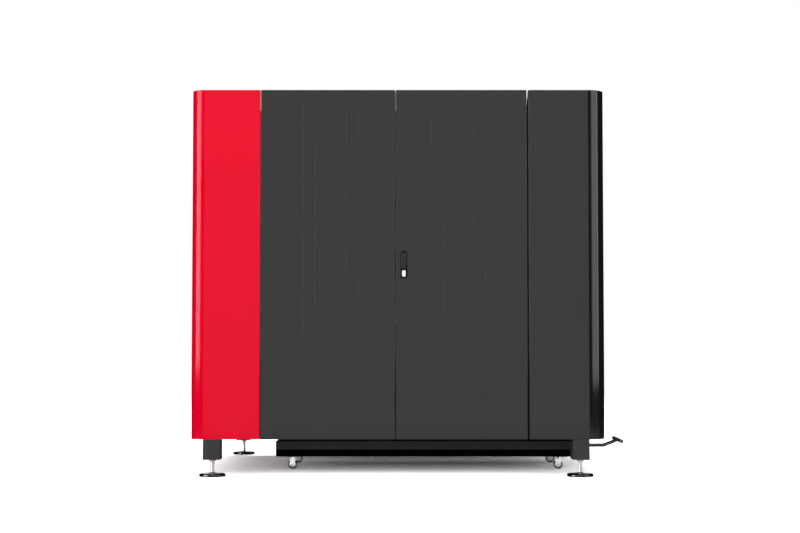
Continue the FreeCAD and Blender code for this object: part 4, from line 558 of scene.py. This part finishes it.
def set_screws(name, places, axis="z"):
    """One piece of screws, each with the underside of its head at the place given."""
    screws = bmesh.new()
    for screw_at in places:
        turn(screws, SCREW_OUTLINE, screw_at, steps=12, axis=axis)
    new_piece(name, screws, oxide_screw, "machine_frame", smooth=30)


def spread(first, last, count):
    """Places at even steps from the first to the last."""
    return [first + i * (last - first) / (count - 1) for i in range(count)]


low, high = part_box("roof_panel")
across = [(x, y, high.z) for x in spread(*ROOF_ACROSS) for y in ROOF_ROWS_AT]
along = [(x, y, high.z) for y in spread(*ROOF_ALONG)
         for x in (low.x + ROOF_SIDE_INSET, high.x - ROOF_SIDE_INSET)]
set_screws("roof_screws", across + along)

fixings = []
for sheet, heights in (("front_apron", APRON_SCREW_HEIGHTS),
                       ("front_header", HEADER_SCREW_HEIGHTS)):
    low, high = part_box(sheet)
    fixings += [(x, high.y, z) for x in (low.x + SHEET_SIDE_INSET, high.x - SHEET_SIDE_INSET)
                for z in heights]
set_screws("loading_side_screws", fixings, axis="y")


# ---------------------------- sheet-metal insides
# Plain shop-finished sheet: the wall between the service space and the cutting chamber is sprayed
# light grey, and the shelf, the mounting plate and the chute are hot-dip galvanised.

# Light grey powder, semi-gloss, a little uneven where it was sprayed by hand inside corners.
pale_grey_powder = powder_coat("pale_grey_powder_coat", "#D2D4D4", 0.38, 3.0, 0.006, dust=0.2)
finish_nodes(pale_grey_powder, "bulkhead", "laser_source")

# Hot-dip zinc: crystals from 8 to 25 mm that each take the light differently.
SPANGLE_MM = 14.0
galvanised_sheet, tree, place, surface = new_material("galvanised_sheet_spangle")
spangle = add(tree, "ShaderNodeTexVoronoi", {"Vector": place, "Scale": 1000 / SPANGLE_MM})
grey = add(tree, "ShaderNodeSeparateColor", {0: spangle.outputs["Color"]}).outputs["Red"]
tint = add(tree, "ShaderNodeMix", {
    "Factor": grey, "A": linear("#A9AFB4"), "B": linear("#C6CBCE")}, data_type="RGBA")
gloss = add(tree, "ShaderNodeMapRange", {"Value": grey, "To Min": 0.28, "To Max": 0.5})
relief = add(tree, "ShaderNodeBump", {"Height": grey, "Strength": 0.3, "Distance": 0.0001})
add(tree, "ShaderNodeBsdfPrincipled", {
    "Base Color": tint.outputs["Result"], "Metallic": 1.0, "Roughness": gloss.outputs["Result"],
    "Normal": relief.outputs["Normal"]}, surface)
finish_nodes(galvanised_sheet, "compartment_floor", "electrical_plate", "scrap_chute",
             "exhaust_collar")


# ---------------------------- hinges and latch works
# Laser-cut hinge arms, welded to the posts and sprayed with them, and turned pins, flat rods and
# keepers, zinc plated after machining, so that they slide without rust. They only show when a door
# is open.

finish_nodes(frame_powder, "hinge_arms")
finish_nodes(zinc_plate, "left_hinge_pins", "right_hinge_pins", "upper_latch_rod",
             "lower_latch_rod", "latch_keepers")


# ---------------------------- swing handle
# A glass-filled nylon plate and lever with a fine spark-eroded grain, and a push button moulded in
# white acetal, which stands out against them.

# The plate is left dull by its coarse grain, and the lever, polished by hands, is a little shinier.
dull_nylon = moulded("dull_glass_filled_nylon", "#060606", 0.6, 0.8, 0.02, gloss=0.15)
finish_nodes(dull_nylon, "handle_plate")
black_nylon = moulded("black_glass_filled_nylon", "#0B0B0C", 0.4, 0.8, 0.01, gloss=0.38,
                      edge_mm=5.0)
finish_nodes(black_nylon, "latch_lever")
# Acetal: white, hard and waxy.
finish_nodes(moulded("white_acetal", "#FAFAF8", 0.25, 0.6, 0.004), "latch_button")
# Hot black oxide on turned steel: a thin dark skin that hardly hides the metal's gloss.
finish_nodes(plated("black_oxide_on_turned_steel", "#2A2A2B", 0.4, 1.0, 0.004), "latch_spindle")


# ---------------------------- loading side
# A folded lift-up door in aluminium channels, with a pane of green laser filter glass, a brushed
# stainless pull, and the operator's screen and button box beside it.

# Green filter glass: clear enough to see the bed through, with the slow waves of a cast sheet.
GLASS_WAVE_MM = 180.0
filter_glass, tree, place, surface = new_material("green_laser_filter_glass")
flow = add(tree, "ShaderNodeTexNoise", {
    "Vector": place, "Scale": 1000 / GLASS_WAVE_MM, "Detail": 1.0})
relief = add(tree, "ShaderNodeBump", {
    "Height": flow.outputs["Fac"], "Strength": 0.2, "Distance": 0.0005})
smear = add(tree, "ShaderNodeMapRange", {
    "Value": flow.outputs["Fac"], "To Min": 0.02, "To Max": 0.07})
add(tree, "ShaderNodeBsdfPrincipled", {
    "Base Color": linear("#5E8F2E"), "Transmission Weight": 0.85, "IOR": 1.49,
    "Roughness": smear.outputs["Result"], "Normal": relief.outputs["Normal"]}, surface)
finish_nodes(filter_glass, "laser_window")

LINE_LENGTH = 120             # of the lines in drawn metal, in line widths


def drawn_metal(name, colour, roughness, line_mm, along, depth_mm=0.004):
    """Metal with fine lines one way, from a die, a belt or a grinding wheel."""
    material, tree, place, surface = new_material(name)
    stretch = [1000 / line_mm] * 3
    stretch["xyz".index(along)] = 1000 / (line_mm * LINE_LENGTH)
    lines_at = add(tree, "ShaderNodeVectorMath", {0: place, 1: stretch}, operation="MULTIPLY")
    lines = add(tree, "ShaderNodeTexNoise", {
        "Vector": lines_at.outputs["Vector"], "Scale": 1.0, "Detail": 3.0})
    relief = add(tree, "ShaderNodeBump", {
        "Height": lines.outputs["Fac"], "Strength": 1.0, "Distance": depth_mm / 1000})
    uneven = add(tree, "ShaderNodeMapRange", {
        "Value": lines.outputs["Fac"], "From Min": 0.3, "From Max": 0.7,
        "To Min": max(0.05, roughness - 0.07), "To Max": roughness + 0.07})
    base = linear(colour)
    tint = add(tree, "ShaderNodeMix", {
        "Factor": lines.outputs["Fac"], "A": [c * 0.86 for c in base[:3]] + [1.0],
        "B": base}, data_type="RGBA")
    add(tree, "ShaderNodeBsdfPrincipled", {
        "Base Color": tint.outputs["Result"], "Metallic": 1.0,
        "Roughness": uneven.outputs["Result"], "Normal": relief.outputs["Normal"]}, surface)
    return material


# Anodised aluminium from the extruder's die, in a soft satin, and stainless bar brushed by a belt.
channel_aluminium = drawn_metal("extruded_anodised_aluminium_upright", "#C4C7C9", 0.34, 1.2, "z")
beam_aluminium = drawn_metal("extruded_anodised_aluminium_lengthwise", "#C4C7C9", 0.34, 1.2, "x")
brushed_stainless = drawn_metal("brushed_stainless_bar", "#C8C6C2", 0.26, 0.8, "x")
finish_nodes(channel_aluminium, "door_guides")
finish_nodes(brushed_stainless, "door_pull")

# A bead of the seal rubber holds the pane in the door's opening.
GASKET_SIZE = (0.650, 0.410, 0.045)         # over its outer edge: width, height, corner
GASKET_PROFILE = (            # out from the door's face, and in from the outer edge
    (0.0, 0.0), (0.0018, 0.0005), (0.0030, 0.0030), (0.0030, 0.0120), (0.0018, 0.0145),
    (0.0, 0.0150))


def rounded(width, height, radius, steps=6):
    """The outline of a rounded rectangle about its middle, as (across, up)."""
    outline = []
    for side, level, start in ((1, 1, 0), (-1, 1, 90), (-1, -1, 180), (1, -1, 270)):
        for step in range(steps + 1):
            angle = math.radians(start + 90 * step / steps)
            outline.append((side * (width / 2 - radius) + radius * math.cos(angle),
                            level * (height / 2 - radius) + radius * math.sin(angle)))
    return outline


def upright_ring(centre, out, width, height, radius):
    """A rounded rectangle round a centre, moved out of the loading side."""
    return [(centre.x + across, centre.y + out, centre.z + up)
            for across, up in rounded(width, height, radius)]


def face_centre(name):
    """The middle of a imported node's outer face on the loading side."""
    low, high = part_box(name)
    return Vector(((low.x + high.x) / 2, high.y, (low.z + high.z) / 2))


pane = face_centre("laser_window")
pane.y = face_centre("loading_door").y
width, height, corner = GASKET_SIZE
gasket = bmesh.new()
skin(gasket, [upright_ring(pane, out, width - 2 * inset, height - 2 * inset, corner - inset)
              for out, inset in GASKET_PROFILE], capped=False)
new_piece("window_gasket", gasket, seal_rubber, "loading_door", smooth=40)

# ABS cases with a coarse grain, and acetal buttons that are glossier than them.
black_abs = moulded("black_abs_case", "#18191A", 0.4, 1.0, 0.03)
finish_nodes(black_abs, "control_panel", "touch_screen")
finish_nodes(moulded("green_acetal", "#1C8F3A", 0.3, 0.6, 0.004), "start_button")
finish_nodes(moulded("grey_acetal", "#8D9092", 0.3, 0.6, 0.004), "stop_button")
finish_nodes(moulded("red_acetal", "#C8141A", 0.28, 0.6, 0.004), "e_stop")

# The screen's cover glass, switched off: almost black, and flat enough to mirror the room.
FINGER_MARK_MM = 25.0
GLASS_RINGS = (               # out from the case, width, height, corner
    (0.0, 0.2120, 0.1520, 0.0050), (0.0006, 0.2120, 0.1520, 0.0050),
    (0.0010, 0.2108, 0.1508, 0.0045))
cover_glass, tree, place, surface = new_material("coated_cover_glass")
fingers = add(tree, "ShaderNodeTexNoise", {
    "Vector": place, "Scale": 1000 / FINGER_MARK_MM, "Detail": 4.0})
smear = add(tree, "ShaderNodeMapRange", {
    "Value": fingers.outputs["Fac"], "From Min": 0.45, "From Max": 0.75, "To Min": 0.04,
    "To Max": 0.16})
depth = add(tree, "ShaderNodeMix", {
    "Factor": fingers.outputs["Fac"], "A": linear("#07090B"),
    "B": linear("#0D1114")}, data_type="RGBA")
add(tree, "ShaderNodeBsdfPrincipled", {
    "Base Color": depth.outputs["Result"], "Roughness": smear.outputs["Result"]}, surface)
case = face_centre("touch_screen")
cover = bmesh.new()
skin(cover, [upright_ring(case, *ring) for ring in GLASS_RINGS])
new_piece("screen_glass", cover, cover_glass, "machine_frame", smooth=20)

# Bright nickel bezels seat the two push buttons: a hard mirror, a little warm.
BEZEL_OUTLINE = ((0.0142, 0.0), (0.0142, 0.0030), (0.0148, 0.0037), (0.0158, 0.0036),
                 (0.0172, 0.0022), (0.0180, 0.0))
COLLAR_OUTLINE = ((0.0090, 0.0), (0.0090, 0.0004), (0.0285, 0.0004), (0.0300, 0.0))
CASE_SCREW_INSET = 0.010
panel_face = face_centre("control_panel").y


def on_panel(button):
    """The place on the button box's face where a button stands."""
    centre = face_centre(button)
    centre.y = panel_face
    return centre


bezels = bmesh.new()
for button in ("start_button", "stop_button"):
    turn(bezels, BEZEL_OUTLINE, on_panel(button), axis="y")
bright_nickel = plated("bright_nickel_plate", "#A9A8A5", 0.12, 1.5, 0.003)
new_piece("button_bezels", bezels, bright_nickel, "machine_frame", smooth=35)
# A flat yellow collar of ABS marks the emergency stop.
collar = bmesh.new()
turn(collar, COLLAR_OUTLINE, on_panel("e_stop"), axis="y")
yellow_abs = moulded("yellow_abs", "#E3B505", 0.35, 0.8, 0.008)
new_piece("e_stop_collar", collar, yellow_abs, "machine_frame", smooth=30)
low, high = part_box("control_panel")
set_screws("control_panel_screws",
           [(x, high.y, z) for x in (low.x + CASE_SCREW_INSET, high.x - CASE_SCREW_INSET)
            for z in (low.z + CASE_SCREW_INSET, high.z - CASE_SCREW_INSET)], axis="y")


# ---------------------------- cutting bed
# A welded table of painted tube with loose toothed slats of mild steel, which the beam itself
# scorches and the slag sticks to, so they are the dirtiest pieces in the machine.

finish_nodes(frame_powder, "table_frame")

# Mild steel: rusty brown in patches, and scorched almost black towards the tips of its teeth.
RUST_PATCH_MM = 45.0
TOOTH_ROOT = 0.875
TOOTH_TIP = 0.905
material, tree, place, surface = new_material("scorched_mild_steel")
scale_rust = add(tree, "ShaderNodeTexNoise", {
    "Vector": place, "Scale": 1000 / RUST_PATCH_MM, "Detail": 6.0}).outputs["Fac"]
height = add(tree, "ShaderNodeSeparateXYZ", {0: place}).outputs["Z"]
near_tip = add(tree, "ShaderNodeMapRange", {
    "Value": height, "From Min": TOOTH_ROOT, "From Max": TOOTH_TIP})
mild = add(tree, "ShaderNodeMix", {
    "Factor": scale_rust, "A": linear("#4A4643"), "B": linear("#7B6F66")}, data_type="RGBA")
scorch = add(tree, "ShaderNodeMix", {
    "Factor": near_tip.outputs["Result"], "A": mild.outputs["Result"],
    "B": linear("#2E2724")}, data_type="RGBA")
relief = add(tree, "ShaderNodeBump", {"Height": scale_rust, "Strength": 0.8, "Distance": 0.0008})
dull = add(tree, "ShaderNodeMapRange", {"Value": scale_rust, "To Min": 0.45, "To Max": 0.8})
add(tree, "ShaderNodeBsdfPrincipled", {
    "Base Color": scorch.outputs["Result"], "Metallic": 0.8, "Roughness": dull.outputs["Result"],
    "Normal": relief.outputs["Normal"]}, surface)
finish_nodes(material, "cutting_slats")


# ---------------------------- gantry, carriage and head
# Ground and hardened rails, an extruded aluminium beam, milled plates, and a cutting head that
# ends in a turned copper nozzle.

# Hardened rail steel: bright, with the fine lines of the grinding wheel along it.
rail_steel = drawn_metal("ground_rail_steel_crosswise", "#A9A8A5", 0.22, 0.6, "y")
beam_rail_steel = drawn_metal("ground_rail_steel_lengthwise", "#A9A8A5", 0.22, 0.6, "x")
finish_nodes(rail_steel, "y_guide_rails", "gantry_runners")
finish_nodes(beam_rail_steel, "x_guide_rails")
finish_nodes(beam_aluminium, "gantry_beam", "x_carriage")
finish_nodes(channel_aluminium, "cutting_head")
finish_nodes(moulded("black_anodised_motor_case", "#1A1B1D", 0.35, 0.8, 0.01), "z_motor")

# Magnet plates: nickel-plated blocks, potted in a thin grey resin that shows dark between them.
MAGNET_PITCH_MM = 80.0
BLOCK_SHARE = 0.93            # of the pitch; the rest is resin
material, tree, place, surface = new_material("potted_magnet_plate")
blocks = add(tree, "ShaderNodeTexWave", {
    "Vector": place, "Scale": WAVE / MAGNET_PITCH_MM}, bands_direction="Y", wave_profile="SAW")
joint = add(tree, "ShaderNodeMath", {
    0: blocks.outputs["Fac"], 1: BLOCK_SHARE}, operation="GREATER_THAN")
tint = add(tree, "ShaderNodeMix", {
    "Factor": joint.outputs[0], "A": linear("#8B8E90"), "B": linear("#3B3D3F")}, data_type="RGBA")
rough = add(tree, "ShaderNodeMapRange", {"Value": joint.outputs[0], "To Min": 0.3, "To Max": 0.6})
add(tree, "ShaderNodeBsdfPrincipled", {
    "Base Color": tint.outputs["Result"], "Metallic": 0.7,
    "Roughness": rough.outputs["Result"]}, surface)
finish_nodes(material, "y_magnet_tracks")

# Turned copper: warm and bright, with the tool's rings, drawn coarse so that they show.
COPPER_RING_MM = 1.6
HEAT_STAIN_MM = 8.0
material, tree, place, surface = new_material("turned_copper")
rings = add(tree, "ShaderNodeTexWave", {
    "Vector": place, "Scale": WAVE / COPPER_RING_MM, "Distortion": 0.5}, bands_direction="Z")
relief = add(tree, "ShaderNodeBump", {
    "Height": rings.outputs["Fac"], "Strength": 0.5, "Distance": 0.00005})
heat = add(tree, "ShaderNodeTexNoise", {
    "Vector": place, "Scale": 1000 / HEAT_STAIN_MM}).outputs["Fac"]
tint = add(tree, "ShaderNodeMix", {
    "Factor": heat, "A": linear("#A8603A"), "B": linear("#D08A5E")}, data_type="RGBA")
add(tree, "ShaderNodeBsdfPrincipled", {
    "Base Color": tint.outputs["Result"], "Metallic": 1.0, "Roughness": 0.25,
    "Normal": relief.outputs["Normal"]}, surface)
finish_nodes(material, "nozzle")


# ---------------------------- electrical equipment
# Three servo drives in moulded grey cases and a rail of circuit breakers with black toggles, all
# on the galvanised plate.

finish_nodes(moulded("grey_polycarbonate_case", "#5B5E61", 0.45, 1.2, 0.03), "servo_drives")
finish_nodes(moulded("pale_grey_polyamide", "#A5A8A9", 0.42, 0.9, 0.02), "breaker_row")

# Each breaker's toggle, up where it is switched on.
BREAKERS = 10
BREAKER_PITCH = 0.019
FIRST_TOGGLE = 0.044          # from the row's end
TOGGLE_WIDTH = 0.010
TOGGLE_TAPER = 0.0006
TOGGLE_SIDE = (               # height at the case, reach in front of it, and rise towards the tip
    (0.958, 0.0040, 0.004), (0.961, 0.0080, 0.005), (0.968, 0.0090, 0.004), (0.971, 0.0060, 0.003))
low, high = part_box("breaker_row")
toggles = bmesh.new()
for i in range(BREAKERS):
    left = low.x + FIRST_TOGGLE + i * BREAKER_PITCH
    right = left + TOGGLE_WIDTH
    skin(toggles, [[(left, low.y + 0.001, z), (right, low.y + 0.001, z),
                    (right - TOGGLE_TAPER, low.y - reach, z + rise),
                    (left + TOGGLE_TAPER, low.y - reach, z + rise)]
                   for z, reach, rise in TOGGLE_SIDE])
new_piece("breaker_toggles", toggles, black_abs, "machine_frame")

# The drives' pluggable terminal blocks, in green polyamide, under a small dark read-out.
FIRST_DRIVE = 0.035           # from the row's end to the drive's middle
DRIVE_PITCH = 0.120
TERMINAL_ROWS = ((0.030, 6), (0.085, 4))    # height over the drive's foot, and terminals
TERMINAL_PITCH = 0.0085
TERMINAL_HALF_WIDTH = 0.004
TERMINAL_SIDE = ((0.0, 0.008), (0.007, 0.008), (0.011, 0.005))    # out, and half the height there
READOUT_DROP = 0.035          # from the drive's top
READOUT_SIZE = (0.034, 0.018, 0.002)        # width, height, corner
low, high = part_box("servo_drives")
width, height, corner = READOUT_SIZE
blocks = bmesh.new()
readouts = bmesh.new()
for i in range(3):
    middle = low.x + FIRST_DRIVE + i * DRIVE_PITCH
    for over_foot, count in TERMINAL_ROWS:
        level = low.z + over_foot
        for step in range(count):
            x = middle + (step - (count - 1) / 2) * TERMINAL_PITCH
            left, right = x - TERMINAL_HALF_WIDTH, x + TERMINAL_HALF_WIDTH
            skin(blocks, [[(left, low.y - out, level - half), (right, low.y - out, level - half),
                           (right, low.y - out, level + half), (left, low.y - out, level + half)]
                          for out, half in TERMINAL_SIDE])
    skin(readouts, [[(middle + across, low.y - out, high.z - READOUT_DROP + up)
                     for across, up in rounded(width - 2 * out, height - 2 * out, corner)]
                    for out in (0.0, 0.0008)])
green_polyamide = moulded("green_polyamide", "#2F7A46", 0.4, 0.8, 0.01)
new_piece("drive_terminals", blocks, green_polyamide, "machine_frame")
smoked_cover = moulded("smoked_polycarbonate", "#120A0A", 0.15, 0.8, 0.002)
new_piece("drive_readouts", readouts, smoked_cover, "machine_frame")


# ---------------------------- scrap cart
# A low welded angle frame with a folded tray, on four castors with zinc-plated forks and hubs and
# black rubber tyres, and a tow bar of bent tube. The tray is powder-coated black; the frame's flat
# near-black paint is painted shade.

# The tray's powder is a semi-gloss black.
cart_powder = powder_coat("black_cart_powder_coat", "#252526", 0.35, 2.5, 0.01, gloss=0.3)
finish_nodes(cart_powder, "cart_tray")
# The chassis is given a flat, near-black paint that answers light from no side: painted shade,
# for the shadow that lies on it under the tray.
chassis_shade_paint = powder_coat("flat_near_black_painted_shade", "#070707", 0.9, 1.5, 0.02, gloss=0.03)
finish_nodes(chassis_shade_paint, "cart_chassis")
# Black chrome on the tube: a dark mirror that dims towards its rims, so one line of light runs
# along it. The cross grip carries a ribbed rubber sleeve with paler end caps; its ribs are drawn
# coarser than real ones, so that they show.
GRIP_INNER_X = 1.101
GRIP_CAP = 0.008
RIB_PITCH_MM = 18.0
low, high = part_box("tow_bar")
material, tree, place, surface = new_material("black_chrome_tube_with_rubber_sleeve")
axes = add(tree, "ShaderNodeSeparateXYZ", {0: place})
sleeve = add(tree, "ShaderNodeMath", {
    0: axes.outputs["X"], 1: GRIP_INNER_X}, operation="GREATER_THAN")
from_middle = add(tree, "ShaderNodeMath", {
    0: axes.outputs["Y"], 1: (low.y + high.y) / 2}, operation="SUBTRACT")
from_middle = add(tree, "ShaderNodeMath", {0: from_middle.outputs[0]}, operation="ABSOLUTE")
cap = add(tree, "ShaderNodeMath", {
    0: from_middle.outputs[0], 1: (high.y - low.y) / 2 - GRIP_CAP}, operation="GREATER_THAN")
ribs = add(tree, "ShaderNodeTexWave", {
    "Vector": place, "Scale": WAVE / RIB_PITCH_MM}, bands_direction="Y", wave_profile="SIN")
swell = add(tree, "ShaderNodeMath", {
    0: ribs.outputs["Fac"], 1: sleeve.outputs[0]}, operation="MULTIPLY")
relief = add(tree, "ShaderNodeBump", {
    "Height": swell.outputs[0], "Strength": 1.0, "Distance": 0.0012})
grip_tint = add(tree, "ShaderNodeMix", {
    "Factor": cap.outputs[0], "A": linear("#0A0A0A"), "B": linear("#6E7072")}, data_type="RGBA")
tint = add(tree, "ShaderNodeMix", {
    "Factor": sleeve.outputs[0], "A": linear("#4A4B4D"),
    "B": grip_tint.outputs["Result"]}, data_type="RGBA")
bare = add(tree, "ShaderNodeMapRange", {"Value": sleeve.outputs[0], "To Min": 1.0, "To Max": 0.0})
rim = add(tree, "ShaderNodeMix", {
    "Factor": sleeve.outputs[0], "A": linear("#101010"), "B": linear("#FFFFFF")}, data_type="RGBA")
rough = add(tree, "ShaderNodeMapRange", {"Value": sleeve.outputs[0], "To Min": 0.12, "To Max": 0.6})
add(tree, "ShaderNodeBsdfPrincipled", {
    "Base Color": tint.outputs["Result"], "Metallic": bare.outputs["Result"],
    "Roughness": rough.outputs["Result"], "Specular IOR Level": 0.3,
    "Specular Tint": rim.outputs["Result"], "Normal": relief.outputs["Normal"]}, surface)
finish_nodes(material, "tow_bar")

# Forks in bright zinc plate. Each wheel's tyre of black rubber, dull and dark, is moulded on a
# bright zinc-plated hub.
TYRE_INSIDE_MM = 18.7
SCUFF_MM = 6.0
NUT_OUTLINE = ((0.0052, 0.0), (0.0052, 0.0028), (0.0044, 0.0034), (0.0, 0.0034))
fork_zinc = plated("bright_zinc_castor_fork", "#F2F3F4", 0.35, 1.0, 0.003)
for corner in ("near_left", "far_left", "near_right", "far_right"):
    finish_nodes(fork_zinc, corner + "_castor_fork")
    wheel = corner + "_castor_wheel"
    low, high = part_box(wheel)
    axle = (low + high) / 2
    material, tree, place, surface = new_material(corner + "_rubber_tyre_on_zinc_hub")
    arm = add(tree, "ShaderNodeVectorMath", {0: place, 1: axle}, operation="SUBTRACT")
    flat = add(tree, "ShaderNodeVectorMath", {
        0: arm.outputs["Vector"], 1: (1.0, 0.0, 1.0)}, operation="MULTIPLY")
    radius = add(tree, "ShaderNodeVectorMath", {0: flat.outputs["Vector"]}, operation="LENGTH")
    tyre = add(tree, "ShaderNodeMath", {
        0: radius.outputs["Value"], 1: TYRE_INSIDE_MM / 1000}, operation="GREATER_THAN")
    scuff = add(tree, "ShaderNodeTexNoise", {
        "Vector": place, "Scale": 1000 / SCUFF_MM, "Detail": 4.0}).outputs["Fac"]
    rubber = add(tree, "ShaderNodeMix", {
        "Factor": scuff, "A": linear("#0A0A0B"), "B": linear("#171718")}, data_type="RGBA")
    tint = add(tree, "ShaderNodeMix", {
        "Factor": tyre.outputs[0], "A": linear("#F0F0EE"),
        "B": rubber.outputs["Result"]}, data_type="RGBA")
    sheen = add(tree, "ShaderNodeMapRange", {
        "Value": tyre.outputs[0], "To Min": 0.22, "To Max": 0.75})
    hub = add(tree, "ShaderNodeMapRange", {"Value": tyre.outputs[0], "To Min": 1.0, "To Max": 0.0})
    relief = add(tree, "ShaderNodeBump", {"Height": scuff, "Strength": 0.4, "Distance": 0.0001})
    add(tree, "ShaderNodeBsdfPrincipled", {
        "Base Color": tint.outputs["Result"], "Metallic": hub.outputs["Result"],
        "Roughness": sheen.outputs["Result"], "Specular IOR Level": 0.15,
        "Normal": relief.outputs["Normal"]}, surface)
    finish_nodes(material, wheel)

    # The axle's hexagon head and nut, one outside each cheek of the fork.
    fork_low, fork_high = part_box(corner + "_castor_fork")
    nuts = bmesh.new()
    for face, out in ((fork_low.y, -1), (fork_high.y, 1)):
        turn(nuts, [(radius, out * height) for radius, height in NUT_OUTLINE],
             (axle.x, face, axle.z), steps=6, axis="y")
    fork_body = "scrap_cart" if corner.endswith("left") else corner + "_castor_fork"
    new_piece(corner + "_axle_nuts", nuts, fork_zinc, fork_body)


# ---------------------------- view settings
# The plain view transform shows each colour as it is written.

scene.view_settings.view_transform = "Standard"
